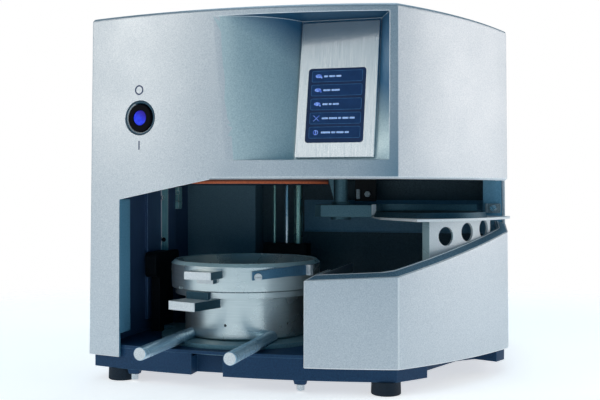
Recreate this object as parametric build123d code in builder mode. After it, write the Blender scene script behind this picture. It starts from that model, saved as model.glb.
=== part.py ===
from build123d import *
import os
from math import atan2, cos, radians, sin, sqrt, tan

# A pressure former for dental splints. Millimetres, +Z up, the user stands at -Y.
# The origin is the middle of the footprint at the height of the table.

# Plan of the cover at its lower edge
cover_bottom = 24.8
cover_top = 360.0
draft = 0.6
wall = 3.0
front_left = (-201.5, -134.8)
front_apex = (-45.5, -153.8)
front_right = (110.5, -134.8)
side_apex = (162.4, -65.9)
side_corner = (201.5, 10.9)
rear_right = (179.5, 215.2)
rear_left = (-201.5, 215.2)
front_radius = 650.0
front_centre_y = front_apex[1] + front_radius
top_fillet = 4.0
crown_front_y = -162.0
crown_middle = (11.0, 353.5)
crown_rear = (222.0, 338.0)

# Places clear of the cover, where cutting shapes may end
beyond_right = 240.0
beyond_front = -175.0
beyond = 900.0

# Opening in the front and right side of the cover
opening_top = 198.7
lip_width = 10.0
lip_height = 2.5
lip_bevel = 2.0
leg_inner_x = -165.1
leg_return_rear_y = -117.8
leg_return_bottom = 47.6
slant_low_z = 179.5
slant_end_x = -66.5
column_front_y = 52.0

# Display recess and its steel plate
recess_low = 216.6
recess_high = 352.0
recess_low_start_x = -50.0
recess_high_start_x = -63.5
plate_left = 12.1
plate_right = 87.7
plate_tilt = 13.0
plate_low_y = -136.7
reveal_right = 101.5
plate_thickness = 2.0
plate_gap = 1.0
plate_corner = 1.2
window_corner = 3.0
screen_sunk = 0.5
window_width = 55.5
window_height = 73.0
window_x = 49.0
window_z = 268.4

# Power switch
switch_x = -141.5
switch_z = 258.8
switch_recess = 34.0
switch_recess_depth = 4.0
button_diameter = 27.0
button_gap = 0.6
button_length = 6.0
button_proud = 0.6
plunger_length = 4.0
button_travel = 2.5
lens_diameter = 15.0
lens_depth = 3.0
contact_block_diameter = 28.0
contact_block_length = 26.0

# Lower right cover
block_left = 24.7
block_rear = 51.7
block_front_z = 105.4
block_front_rise = 0.049
block_side_z = 109.6
block_side_rise = 0.2096
left_trim_y = -120.0
block_reach = 165.0
ledge_width = 11.0
ledge_thickness = 4.0
bevel_width = 8.0
bevel_height = 4.5
bevel_inset = 0.1
bevel_overlap = 0.4

# Base and feet
foot_height = 12.7
foot_diameter = 28.0
base_inset = 4.5
deck_low = 33.0
deck_top = 36.0

# Pot, ring and lift
pot_x = -65.8
pot_y = -47.8
platform_radius = 88.0
platform_low = 30.0
platform_top = 40.0
pot_low = 40.2
pot_radius = 63.5
pot_bore_radius = 56.0
pot_floor = 46.0
pot_top = 88.6
ring_low = 88.9
ring_top = 117.0
ring_radius = 77.85
ring_bore_radius = 57.0
rod_diameter = 12.0
rod_z = 43.2
rod_offset = 42.4
rod_front_y = -215.2
rod_chamfer = 0.5
rod_rear_y = -94.0
lift_travel = 76.7
running_gap = 0.3
fit_gap = 0.08

# Pressure chamber
gasket_low = 194.0
gasket_radius = 86.5
ceiling_low = 200.2
ceiling_top = 203.2
chamber_top = 262.0

# Guides of the lift
column_y = 60.0
column_x = -38.8
column_diameter = 10.0
slim_column_x = -67.5
slim_column_diameter = 4.0
lift_x = -52.7
lift_rod_diameter = 5.0

# Heater arm, which turns about a post
post_x = 12.5
post_y = 58.2
post_diameter = 15.0
arm_low = 158.5
arm_plate_top = 161.0
arm_radius = 190.0
handle_radius = 178.0
handle_thickness = 2.5
handle_start = -48.0
handle_end = -18.0
handle_low_start = 119.0
handle_low_end = 138.4
heater_reach = 131.8
heater_angle = -33.0
heater_radius = 58.0
heater_window = 52.0
pan_height = 5.5
pan_taper = 22
element_height = 3.5
guard_bar = 1.6


# Rear opening of the cover, and the panel that closes it
rear_opening_y = 205.0
rear_centre = (-10.0, 180.0)
rear_opening_width = 330.0
rear_opening_height = 260.0
rear_corner = 8.0
rear_overlap = 6.0


def around(x, y, radius, angle):
    """Point at a radius and an angle in degrees from +X, about a centre."""
    return (x + radius * cos(radians(angle)), y + radius * sin(radians(angle)))


def about_pot(radius, azimuth):
    """Point about the pot's axis, azimuth in degrees to the right of the front."""
    return around(pot_x, pot_y, radius, azimuth - 90)


def about_post(radius, angle):
    return around(post_x, post_y, radius, angle)


def cover_plan(inset):
    with BuildSketch() as plan:
        with BuildLine():
            ThreePointArc(front_left, front_apex, front_right)
            ThreePointArc(front_right, side_apex, side_corner)
            Polyline(side_corner, rear_right, rear_left, front_left)
        make_face()
        if inset:
            offset(amount=-inset, kind=Kind.INTERSECTION)
    return plan.sketch


def cover_solid(inset, low, high):
    """Drafted block with the cover's plan, drawn in by inset on every side."""
    shrink = tan(radians(draft))
    low_plan = cover_plan(inset + (low - cover_bottom) * shrink)
    high_plan = cover_plan(inset + (high - cover_bottom) * shrink)
    with BuildPart() as solid:
        with BuildSketch(Plane.XY.offset(low)):
            add(low_plan)
        with BuildSketch(Plane.XY.offset(high)):
            add(high_plan)
        loft(ruled=True)
    return solid.part


def block_between(low_corner, high_corner):
    """Plain box from its lowest to its highest corner."""
    size = [high_corner[i] - low_corner[i] for i in range(3)]
    middle = [(high_corner[i] + low_corner[i]) / 2 for i in range(3)]
    with BuildPart() as block:
        with Locations(tuple(middle)):
            Box(*size)
    return block.part


def crown(drop):
    """Space under the cover's top, which falls gently towards the rear."""
    with BuildPart() as space:
        with BuildSketch(Plane.YZ):
            with BuildLine():
                top = ThreePointArc(
                    (crown_front_y, cover_top + 0.3 - drop),
                    (crown_middle[0], crown_middle[1] - drop),
                    (crown_rear[0], crown_rear[1] - drop),
                )
                Polyline(top @ 1, (crown_rear[0], 0), (crown_front_y, 0), top @ 0)
            make_face()
        extrude(amount=beyond_right, both=True)
    return space.part


def plate_y(z):
    """Front of the display plate at a height."""
    return plate_low_y + (z - recess_low) * tan(radians(plate_tilt))


def front_y(x, z):
    """Front face of the cover at a place."""
    inset = (z - cover_bottom) * tan(radians(draft))
    return front_centre_y - sqrt((front_radius - inset) ** 2 - (x - front_apex[0]) ** 2)


def recess_profile(z, start_x, grow):
    """Plan of the display recess: a soft scoop, the flat behind the plate and the right reveal."""
    back = plate_y(z) + plate_thickness + plate_gap + grow
    start = (start_x - grow, front_y(start_x, z) + grow)
    with BuildSketch(Plane.XY.offset(z)) as profile:
        with BuildLine():
            scoop = TangentArc(start, (plate_left - plate_gap, back), tangent=(1, 0))
            Polyline(
                scoop @ 1,
                (plate_right + plate_gap + grow, back),
                (reveal_right + grow, front_y(reveal_right, z) + grow),
                (reveal_right + grow, beyond_front),
                (start_x - grow, beyond_front),
                start,
            )
        make_face()
    return profile.sketch


def recess_space(grow):
    low = recess_profile(recess_low - grow, recess_low_start_x, grow)
    high = recess_profile(recess_high + grow, recess_high_start_x, grow)
    with BuildPart() as space:
        add(low)
        add(high)
        loft(ruled=True)
    return space.part


# Plane on the cover's face at the power switch, with its normal outwards
switch_y = front_y(switch_x, switch_z)
switch_normal = (switch_x - front_apex[0], switch_y - front_centre_y, front_radius * tan(radians(draft)))
switch_plane = Plane(
    origin=(switch_x, switch_y, switch_z),
    x_dir=(-switch_normal[1], switch_normal[0], 0),
    z_dir=switch_normal,
)


def export(piece, name):
    piece.part.label = name
    export_step(piece.part, f"parts/{name}.step")


os.makedirs("parts", exist_ok=True)

# Upper housing, one moulding with the left leg
outer = cover_solid(0, cover_bottom, cover_top + 1)
inner = cover_solid(wall, cover_bottom - 1, cover_top)
lip_outer = cover_solid(0.05, opening_top, opening_top + lip_height)
lip_inner = cover_solid(lip_width, opening_top - 1, opening_top + lip_height + 1)
lip_reach = block_between(
    (slant_end_x + 6, beyond_front, opening_top),
    (beyond_right, column_front_y, opening_top + lip_height + 1),
)
recess = recess_space(0)
recess_wall = recess_space(wall)
roof = crown(0)
roof_inside = crown(wall)

with BuildPart() as cavity:
    add(inner)
    add(roof_inside, mode=Mode.INTERSECT)
    add(recess_wall, mode=Mode.SUBTRACT)
    with BuildSketch(switch_plane.offset(wall)):
        Circle(switch_recess / 2 + wall)
    extrude(amount=-(switch_recess_depth + 2 * wall), mode=Mode.SUBTRACT)

with BuildPart() as lower_lip:
    add(lip_outer)
    add(lip_inner, mode=Mode.SUBTRACT)
    add(lip_reach, mode=Mode.INTERSECT)

# Bevel along the cover's lower edge over the bay: what lies outside a skin that slopes in by 45 degrees
edge_band = block_between(
    (slant_end_x, beyond_front, opening_top - 1),
    (beyond_right, column_front_y - 1, opening_top + lip_bevel),
)
with BuildPart() as edge_bevel:
    add(edge_band)
    with BuildSketch(Plane.XY.offset(opening_top - 2)):
        add(cover_plan((opening_top - cover_bottom) * tan(radians(draft)) + lip_bevel + 2))
    with BuildSketch(Plane.XY.offset(opening_top + lip_bevel + 1)):
        add(cover_plan((opening_top - cover_bottom) * tan(radians(draft)) - 1))
    loft(ruled=True, mode=Mode.SUBTRACT)

with BuildPart() as leg_return:
    add(outer)
    with BuildSketch(Plane.XY.offset(leg_return_bottom)):
        with Locations((leg_inner_x - wall / 2, leg_return_rear_y - 20)):
            Rectangle(wall, 40)
    extrude(amount=slant_low_z - leg_return_bottom, mode=Mode.INTERSECT)

with BuildPart() as upper_housing:
    add(outer)
    add(roof, mode=Mode.INTERSECT)
    fillet(upper_housing.faces().sort_by(Axis.Z)[-1].edges(), radius=top_fillet)
    add(cavity.part, mode=Mode.SUBTRACT)
    with BuildSketch(Plane.XZ.offset(-column_front_y)):
        with BuildLine():
            Polyline(
                (leg_inner_x, 0),
                (leg_inner_x, slant_low_z),
                (slant_end_x, opening_top),
                (beyond_right, opening_top),
                (beyond_right, 0),
                close=True,
            )
        make_face()
    extrude(amount=beyond_right, mode=Mode.SUBTRACT)
    add(lower_lip.part)
    add(edge_bevel.part, mode=Mode.SUBTRACT)
    add(leg_return.part)
    add(recess, mode=Mode.SUBTRACT)
    with BuildSketch(switch_plane):
        Circle(switch_recess / 2)
    extrude(amount=-switch_recess_depth, mode=Mode.SUBTRACT)
    with BuildSketch(switch_plane.offset(wall)):
        Circle(switch_recess / 2)
    extrude(amount=-wall, mode=Mode.SUBTRACT)
    with BuildSketch(switch_plane):
        Circle(button_diameter / 2 + button_gap)
    extrude(amount=-20, mode=Mode.SUBTRACT)
    with BuildSketch(Plane.XZ.offset(-rear_opening_y)):
        with Locations(rear_centre):
            RectangleRounded(rear_opening_width, rear_opening_height, rear_corner)
    extrude(amount=-20, mode=Mode.SUBTRACT)
export(upper_housing, "upper_housing")

# Lower right cover with its rising rim
block_shape = cover_solid(0, cover_bottom, block_reach)
block_inside = cover_solid(wall, cover_bottom - 1, block_reach + 1)
block_mouth = cover_solid(ledge_width, cover_bottom, block_reach + 2)
side_length = sqrt((side_corner[0] - front_right[0]) ** 2 + (side_corner[1] - front_right[1]) ** 2)
side_direction = (
    (side_corner[0] - front_right[0]) / side_length,
    (side_corner[1] - front_right[1]) / side_length,
)


def rim_planes(drop):
    """Planes of the front rim, nearly level, and of the side rim, which rises to the rear."""
    front_plane = Plane(
        origin=(block_left, front_right[1], block_front_z - drop),
        x_dir=(1, 0, block_front_rise),
        z_dir=(-block_front_rise, 0, 1),
    )
    side_plane = Plane(
        origin=(front_right[0], front_right[1], block_side_z - drop),
        x_dir=(side_direction[1], -side_direction[0], 0),
        z_dir=(-block_side_rise * side_direction[0], -block_side_rise * side_direction[1], 1),
    )
    return (front_plane, side_plane)


def above_rim(drop):
    """Space above both rims."""
    front_plane, side_plane = rim_planes(drop)
    with BuildPart() as space:
        with BuildSketch(front_plane):
            Rectangle(beyond, beyond)
        extrude(amount=block_reach)
        with BuildSketch(side_plane):
            Rectangle(beyond, beyond)
        extrude(amount=beyond, mode=Mode.INTERSECT)
    return space.part


def rim_bevel(index):
    """Layer on one rim plane whose edge slopes inwards and up, from just inside the wall."""
    foot = cover_solid(bevel_inset, deck_top, opening_top)
    crest = cover_solid(bevel_width, deck_top, opening_top)
    low = section(foot, section_by=rim_planes(bevel_overlap)[index])
    high = section(crest, section_by=rim_planes(-bevel_height)[index])
    with BuildPart() as layer:
        add(low)
        add(high)
        loft(ruled=True)
    return layer.part


block_bounds = block_between(
    (block_left, beyond_front, cover_bottom), (beyond_right, block_rear, opening_top)
)
inside_bounds = block_between(
    (block_left + wall, beyond_front, 0), (beyond_right, block_rear + 1, opening_top)
)
mouth_bounds = block_between(
    (block_left + ledge_width, beyond_front, 0), (beyond_right, block_rear + 1, opening_top)
)
left_wall_top = block_front_z + bevel_height + 0.6
left_wall_trim = block_between(
    (block_left - 1, left_trim_y, left_wall_top), (block_left + ledge_width, block_rear + 1, opening_top)
)
rim = above_rim(0)
under_rim = above_rim(ledge_thickness - bevel_height)

with BuildPart() as block_hollow:
    add(block_inside)
    add(inside_bounds, mode=Mode.INTERSECT)
    add(under_rim, mode=Mode.SUBTRACT)

with BuildPart() as block_opening:
    add(block_mouth)
    add(mouth_bounds, mode=Mode.INTERSECT)

base_space = cover_solid(base_inset - running_gap, cover_bottom - 1, deck_top + running_gap)
with BuildPart() as block_cover:
    add(block_shape)
    add(rim, mode=Mode.SUBTRACT)
    add(rim_bevel(0))
    add(rim_bevel(1))
    add(block_bounds, mode=Mode.INTERSECT)
    add(base_space, mode=Mode.SUBTRACT)
    add(block_hollow.part, mode=Mode.SUBTRACT)
    add(block_opening.part, mode=Mode.SUBTRACT)
    add(left_wall_trim, mode=Mode.SUBTRACT)
    with BuildSketch(Plane.XZ.offset(-beyond_front)):
        with BuildLine():
            Polyline(
                (block_left - 2, block_front_z - 2 * bevel_height / bevel_width),
                (block_left + bevel_width, block_front_z + bevel_height),
                (block_left + bevel_width, block_reach),
                (block_left - 2, block_reach),
                close=True,
            )
        make_face()
    extrude(amount=-(block_rear - beyond_front), mode=Mode.SUBTRACT)
export(block_cover, "block_cover")

# Black floor of the park bay inside the lower right cover
liner_low = 66.0
liner_top = 72.0
liner_gap = 0.5
liner_rear_y = 98.0
liner_shape = cover_solid(wall + liner_gap, liner_low, liner_top)
liner_bounds = block_between(
    (block_left + wall + liner_gap, beyond_front, liner_low), (beyond_right, liner_rear_y, liner_top)
)
with BuildPart() as block_liner:
    add(liner_shape)
    add(liner_bounds, mode=Mode.INTERSECT)
export(block_liner, "block_liner")

# Steel plate of the display, leaning back, with the touch screen in its window
plate_low_edge = recess_low + 2.2
plate_high_edge = recess_high - 2.6
plate_middle_z = (plate_low_edge + plate_high_edge) / 2
plate_middle_x = (plate_left + plate_right) / 2
plate_height = (plate_high_edge - plate_low_edge) / cos(radians(plate_tilt))
window_up = (window_z - plate_middle_z) / cos(radians(plate_tilt))
plate_plane = Plane(
    origin=(plate_middle_x, plate_y(plate_middle_z), plate_middle_z),
    x_dir=(1, 0, 0),
    z_dir=(0, -cos(radians(plate_tilt)), sin(radians(plate_tilt))),
)
window_place = (window_x - plate_middle_x, window_up)

with BuildPart() as display_plate:
    with BuildSketch(plate_plane):
        RectangleRounded(plate_right - plate_left, plate_height, plate_corner)
        with Locations(window_place):
            RectangleRounded(window_width, window_height, window_corner, mode=Mode.SUBTRACT)
    extrude(amount=-plate_thickness)
    outer_edges = display_plate.faces().sort_by(lambda f: f.center().Y)[0].outer_wire().edges()
    chamfer(outer_edges, length=0.4)
export(display_plate, "display_plate")

with BuildPart() as touch_screen:
    with BuildSketch(plate_plane.offset(-screen_sunk)):
        with Locations(window_place):
            RectangleRounded(window_width - 0.2, window_height - 0.2, window_corner - 0.1)
    extrude(amount=-(plate_thickness - screen_sunk - 0.1))
export(touch_screen, "touch_screen")

# Spacers hold the plate off the recess, which leaves the dark gap round it
with BuildPart() as plate_spacers:
    with BuildSketch(plate_plane.offset(-plate_thickness)):
        with Locations((0, 56)):
            RectangleRounded(68, 16, 2)
        with Locations((0, -64)):
            RectangleRounded(60, 4, 1)
    extrude(amount=-0.8)
export(plate_spacers, "plate_spacers")

# Power switch
with BuildPart() as switch_bezel:
    with BuildSketch(switch_plane.offset(-switch_recess_depth)):
        Circle(switch_recess / 2 - 0.1)
        Circle(button_diameter / 2 + button_gap, mode=Mode.SUBTRACT)
    extrude(amount=switch_recess_depth - button_gap)
    chamfer(switch_bezel.edges().filter_by(GeomType.CIRCLE).sort_by(Axis.Y)[:2], length=0.8)
export(switch_bezel, "switch_bezel")

with BuildPart() as power_button:
    with BuildSketch(switch_plane.offset(-button_length)):
        Circle(button_diameter / 2)
    extrude(amount=button_length + button_proud)
    fillet(power_button.edges().filter_by(GeomType.CIRCLE).sort_by(Axis.Y)[0], radius=1.6)
    with BuildSketch(switch_plane.offset(button_proud)):
        Circle(lens_diameter / 2)
    extrude(amount=-lens_depth, mode=Mode.SUBTRACT)
    with BuildSketch(switch_plane.offset(-button_length)):
        Circle(5)
    extrude(amount=-plunger_length)
export(power_button, "power_button")

with BuildPart() as button_lens:
    with BuildSketch(switch_plane.offset(button_proud - lens_depth)):
        Circle(lens_diameter / 2)
    extrude(amount=lens_depth - button_proud)
    fillet(button_lens.edges().filter_by(GeomType.CIRCLE).sort_by(Axis.Y)[0], radius=1)
export(button_lens, "button_lens")

contact_block_depth = button_length + plunger_length + button_travel + running_gap
with BuildPart() as switch_block:
    with BuildSketch(switch_plane.offset(-contact_block_depth)):
        Circle(contact_block_diameter / 2)
    extrude(amount=-contact_block_length)
    with BuildSketch(switch_plane.offset(-contact_block_depth - contact_block_length)):
        with Locations((-5, 0), (5, 0)):
            Rectangle(1.2, 6)
    extrude(amount=-9)
export(switch_block, "switch_block")

# Base tray, deck and feet
side_cut_points = (
    (134.7, -103.9),
    (118, -92),
    (150, -12),
    (167.4, 4.2),
    (189.7, -4.4),
    (240, -22),
    (240, -150),
)
notch_low_x = -86.8
notch_high_x = -54.3
notch_rear_y = -132.0
deck_bore = platform_radius + 1
base_plan = cover_plan(base_inset)

notch_space = block_between((notch_low_x, beyond_front, 0), (notch_high_x, notch_rear_y, deck_low))
notch_reach = block_between(
    (notch_low_x - wall, beyond_front, 0), (notch_high_x + wall, notch_rear_y + wall, deck_low)
)
with BuildPart() as notch_walls:
    with BuildSketch(Plane.XY.offset(foot_height)):
        add(base_plan)
    extrude(amount=platform_low - running_gap - foot_height)
    add(notch_reach, mode=Mode.INTERSECT)

with BuildPart() as base_tray:
    with BuildSketch(Plane.XY.offset(foot_height)):
        add(base_plan)
        with BuildLine():
            Polyline(*side_cut_points, close=True)
        make_face(mode=Mode.SUBTRACT)
    extrude(amount=deck_low - foot_height)
    offset(amount=-wall, openings=base_tray.faces().sort_by(Axis.Z)[-1])
    add(notch_walls.part)
    add(notch_space, mode=Mode.SUBTRACT)
export(base_tray, "base_tray")

lift_plate_y = 44.0
lift_plate_thickness = 6.0
lift_plate_width = 54.0
platform_tab = ((-155.5, -21.0), (21.0, 24.0))
tab_clearance = 7.5
with BuildPart() as base_deck:
    with BuildSketch(Plane.XY.offset(deck_low)):
        add(base_plan)
        with BuildLine():
            Polyline(*side_cut_points, close=True)
        make_face(mode=Mode.SUBTRACT)
        with Locations((pot_x, pot_y)):
            Circle(deck_bore, mode=Mode.SUBTRACT)
        with Locations((lift_x, lift_plate_y - 8)):
            Rectangle(lift_plate_width + 8, 42, mode=Mode.SUBTRACT)
        with Locations((platform_tab[0][0] - 5.5, platform_tab[0][1] - 5)):
            Rectangle(platform_tab[1][0] + 2 * tab_clearance, platform_tab[1][1] + 22, mode=Mode.SUBTRACT)
        with Locations((column_x, column_y)):
            Circle(column_diameter / 2, mode=Mode.SUBTRACT)
        with Locations((slim_column_x, column_y)):
            Circle(slim_column_diameter / 2, mode=Mode.SUBTRACT)
    extrude(amount=deck_top - deck_low)
export(base_deck, "base_deck")

foot_places = {
    "front_left_foot": (-170.5, -123.8),
    "front_right_foot": (96.5, -122.5),
    "rear_left_foot": (-170.5, 185),
    "rear_right_foot": (150, 185),
}
for foot_name, foot_place in foot_places.items():
    with BuildPart() as foot:
        with BuildSketch(Plane.XY):
            with Locations(foot_place):
                Circle(foot_diameter / 2)
        extrude(amount=foot_height, taper=2)
        fillet(foot.edges().sort_by(Axis.Z)[0], radius=1.5)
    export(foot, foot_name)

# Two levelling points under the front wall, each a boss with a bright pin
leveller_places = ((-151.5, -135.5), (19, -139.5))
boss_low = 8.2
boss_taper = 16
nut_low = 2.3
nut_radius = 3.9
pin_radius = 2.5
with BuildPart() as leveller_bosses:
    with BuildSketch(Plane.XY.offset(foot_height)):
        with Locations(*leveller_places):
            RectangleRounded(13, 9, 2)
    extrude(amount=-(foot_height - boss_low), taper=boss_taper)
    with BuildSketch(Plane.XY.offset(boss_low)):
        with Locations(*leveller_places):
            Circle(pin_radius + 0.1)
    extrude(amount=foot_height - boss_low, mode=Mode.SUBTRACT)
export(leveller_bosses, "leveller_bosses")

with BuildPart() as leveller_pins:
    with BuildSketch(Plane.XY.offset(nut_low)):
        with Locations(*leveller_places):
            RegularPolygon(nut_radius, 6)
    extrude(amount=boss_low - 0.1 - nut_low)
    chamfer(leveller_pins.edges().group_by(Axis.Z)[0], length=0.7)
    with BuildSketch(Plane.XY.offset(boss_low - 0.1)):
        with Locations(*leveller_places):
            Circle(pin_radius)
    extrude(amount=foot_height - boss_low + 0.1)
export(leveller_pins, "leveller_pins")

# Inner walls of the work bay
bay_rear_y = 100.0
bay_left_x = -184.0
bay_right_x = 176.0
bay_front_y = -120.0
sheet = 2.0
with BuildPart() as bay_rear_wall:
    with BuildSketch(Plane.XZ.offset(-bay_rear_y)):
        with Locations(((bay_left_x + bay_right_x) / 2, (deck_top + ceiling_low) / 2)):
            Rectangle(bay_right_x - bay_left_x, ceiling_low - deck_top)
    extrude(amount=-sheet)
export(bay_rear_wall, "bay_rear_wall")

with BuildPart() as bay_left_wall:
    with BuildSketch(Plane.YZ.offset(bay_left_x)):
        with Locations(((bay_rear_y + bay_front_y) / 2, (deck_top + ceiling_low) / 2)):
            Rectangle(bay_rear_y - bay_front_y, ceiling_low - deck_top)
    extrude(amount=sheet)
export(bay_left_wall, "bay_left_wall")

side_panel_right_x = -95.6
side_panel_y = 73.0
with BuildPart() as bay_side_panel:
    with BuildSketch(Plane.XZ.offset(-side_panel_y)):
        with Locations(((bay_left_x + sheet + side_panel_right_x) / 2, (deck_top + ceiling_low) / 2)):
            Rectangle(side_panel_right_x - bay_left_x - sheet, ceiling_low - deck_top)
    extrude(amount=-sheet)
    with BuildSketch(Plane.YZ.offset(side_panel_right_x - sheet)):
        with Locations(((side_panel_y + bay_rear_y) / 2, (deck_top + ceiling_low) / 2)):
            Rectangle(bay_rear_y - side_panel_y, ceiling_low - deck_top)
    extrude(amount=sheet)
export(bay_side_panel, "bay_side_panel")

# Inner side of the rear right column, which shows blue-black beside the park bay
column_liner_x = 172.0
column_liner_low = 96.0
column_liner_front_y = column_front_y + 0.4
column_shape = cover_solid(wall + 0.2, column_liner_low, ceiling_low)
column_bounds = block_between(
    (column_liner_x, column_liner_front_y, column_liner_low), (beyond_right, bay_rear_y - 0.5, ceiling_low)
)
with BuildPart() as column_liner:
    add(column_shape)
    add(column_bounds, mode=Mode.INTERSECT)
export(column_liner, "column_liner")

# Ceiling of the work bay, open for the chamber, the lift guides and the arm's post
ceiling_inset = 12.0
ceiling_lift = 1.3
ceiling_rear_y = 120.0
ceiling_plan = cover_plan(ceiling_inset)
with BuildPart() as bay_ceiling:
    with BuildSketch(Plane.XY.offset(ceiling_low + ceiling_lift)):
        add(ceiling_plan)
        with Locations((0, ceiling_rear_y + beyond / 2)):
            Rectangle(beyond, beyond, mode=Mode.SUBTRACT)
        with Locations((pot_x, pot_y)):
            Circle(gasket_radius + 1.5, mode=Mode.SUBTRACT)
        with Locations((lift_x, 57)):
            Rectangle(66, 36, mode=Mode.SUBTRACT)
        with Locations((post_x - 4, post_y)):
            RectangleRounded(28, 22, 4, mode=Mode.SUBTRACT)
    extrude(amount=ceiling_top - ceiling_low)
export(bay_ceiling, "bay_ceiling")

# Pressure chamber over the pot
cylinder_diameter = 17.0
chamber_outer = 76.0
chamber_bore = 58.0
chamber_flange_top = 210.0
gasket_thickness = 6.0
gasket_bore = 68.0
with BuildPart() as pressure_chamber:
    with BuildSketch(Plane.XZ.offset(-pot_y)):
        with BuildLine():
            Polyline(
                (pot_x, chamber_top),
                (pot_x + chamber_outer - 6, chamber_top),
                (pot_x + chamber_outer, chamber_top - 6),
                (pot_x + chamber_outer, chamber_flange_top + 2),
                (pot_x + gasket_radius, chamber_flange_top),
                (pot_x + gasket_radius, gasket_low + gasket_thickness),
                (pot_x + chamber_bore, gasket_low + gasket_thickness),
                (pot_x + chamber_bore, chamber_top - 14),
                (pot_x, chamber_top - 12),
                close=True,
            )
        make_face()
    revolve(axis=Axis((pot_x, pot_y, 0), (0, 0, 1)))
export(pressure_chamber, "pressure_chamber")

with BuildPart() as chamber_gasket:
    with BuildSketch(Plane.XY.offset(gasket_low)):
        with Locations((pot_x, pot_y)):
            Circle(gasket_radius)
            Circle(gasket_bore, mode=Mode.SUBTRACT)
    extrude(amount=gasket_thickness)
    fillet(chamber_gasket.edges().filter_by(GeomType.CIRCLE).group_by(Axis.Z)[0], radius=1.5)
export(chamber_gasket, "chamber_gasket")

yoke_thickness = 8.0
yoke_width = 90.0
yoke_length = 200.0
yoke_middle_y = 30.0
with BuildPart() as chamber_yoke:
    with BuildSketch(Plane.XY.offset(chamber_top)):
        with Locations((pot_x, yoke_middle_y)):
            Rectangle(yoke_width, yoke_length)
    extrude(amount=yoke_thickness)
    with BuildSketch(Plane.XY.offset(chamber_top)):
        with Locations((column_x, column_y)):
            Circle(column_diameter / 2)
        with Locations((slim_column_x, column_y)):
            Circle(slim_column_diameter / 2)
        with Locations((lift_x, column_y)):
            Circle(cylinder_diameter / 2)
    extrude(amount=yoke_thickness, mode=Mode.SUBTRACT)
export(chamber_yoke, "chamber_yoke")

frame_rear_y = 132.0
frame_thickness = 8.0
frame_middle_x = -38.0
frame_width = 150.0
with BuildPart() as chamber_frame:
    with BuildSketch(Plane.XZ.offset(-frame_rear_y)):
        with Locations((frame_middle_x, (deck_top + chamber_top) / 2)):
            Rectangle(frame_width, chamber_top - deck_top)
    extrude(amount=frame_thickness)
export(chamber_frame, "chamber_frame")

# Lift: platform, rear plate with bush block on two columns, pneumatic rod and side carriage
with BuildPart() as guide_columns:
    with BuildSketch(Plane.XY.offset(foot_height + wall)):
        with Locations((column_x, column_y)):
            Circle(column_diameter / 2)
        with Locations((slim_column_x, column_y)):
            Circle(slim_column_diameter / 2)
    extrude(amount=chamber_top + yoke_thickness - foot_height - wall)
export(guide_columns, "guide_columns")

bush_low = 84.0
bush_top = 127.0
bush_depth = 20.0
lift_plate_top = 104.0
with BuildPart() as bush_block:
    with BuildSketch(Plane.XY.offset(bush_low)):
        with Locations((lift_x, column_y)):
            RectangleRounded(lift_plate_width, bush_depth, 4)
        with Locations((column_x, column_y)):
            Circle(column_diameter / 2 + fit_gap, mode=Mode.SUBTRACT)
        with Locations((slim_column_x, column_y)):
            Circle(slim_column_diameter / 2 + fit_gap, mode=Mode.SUBTRACT)
    extrude(amount=bush_top - bush_low)
    with BuildSketch(Plane.XZ.offset(-lift_plate_y - lift_plate_thickness)):
        with Locations((lift_x, (platform_low + lift_plate_top) / 2)):
            Rectangle(lift_plate_width, lift_plate_top - platform_low)
    extrude(amount=lift_plate_thickness)
export(bush_block, "bush_block")

with BuildPart() as lift_platform:
    with BuildSketch(Plane.XY.offset(platform_low)):
        with Locations((pot_x, pot_y)):
            Circle(platform_radius)
        with Locations((lift_x, lift_plate_y - 14)):
            Rectangle(lift_plate_width, 28)
        with Locations(platform_tab[0]):
            Rectangle(*platform_tab[1])
    extrude(amount=platform_top - platform_low)
    with BuildSketch(Plane.XY.offset(platform_top)):
        with Locations((pot_x, pot_y)):
            Circle(pot_radius + 0.6)
    extrude(amount=-0.4, mode=Mode.SUBTRACT)
    with BuildSketch(Plane.XZ.offset(-pot_y + 40)):
        with Locations((pot_x - rod_offset, rod_z), (pot_x + rod_offset, rod_z)):
            Circle(rod_diameter / 2 + 0.5)
    extrude(amount=60, mode=Mode.SUBTRACT)
export(lift_platform, "lift_platform")

cylinder_low = 209.0
cylinder_bore = 13.0
cylinder_cap = 4.0
piston_top = 222.0
piston_length = 8.0
cylinder_top = piston_top + lift_travel + 6
with BuildPart() as lift_rod:
    with BuildSketch(Plane.XY.offset(bush_top)):
        with Locations((lift_x, column_y)):
            Circle(lift_rod_diameter / 2)
    extrude(amount=piston_top - bush_top)
    with BuildSketch(Plane.XY.offset(piston_top)):
        with Locations((lift_x, column_y)):
            Circle(cylinder_bore / 2 - fit_gap)
    extrude(amount=-piston_length)
export(lift_rod, "lift_rod")

with BuildPart() as lift_cylinder:
    with BuildSketch(Plane.XY.offset(cylinder_low)):
        with Locations((lift_x, column_y)):
            Circle(cylinder_diameter / 2)
    extrude(amount=cylinder_top - cylinder_low)
    with BuildSketch(Plane.XY.offset(cylinder_low)):
        with Locations((lift_x, column_y)):
            Circle(lift_rod_diameter / 2 + fit_gap)
    extrude(amount=cylinder_cap + 1, mode=Mode.SUBTRACT)
    with BuildSketch(Plane.XY.offset(cylinder_low + cylinder_cap)):
        with Locations((lift_x, column_y)):
            Circle(cylinder_bore / 2)
    extrude(amount=cylinder_top - cylinder_low - 2 * cylinder_cap, mode=Mode.SUBTRACT)
export(lift_cylinder, "lift_cylinder")

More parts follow.
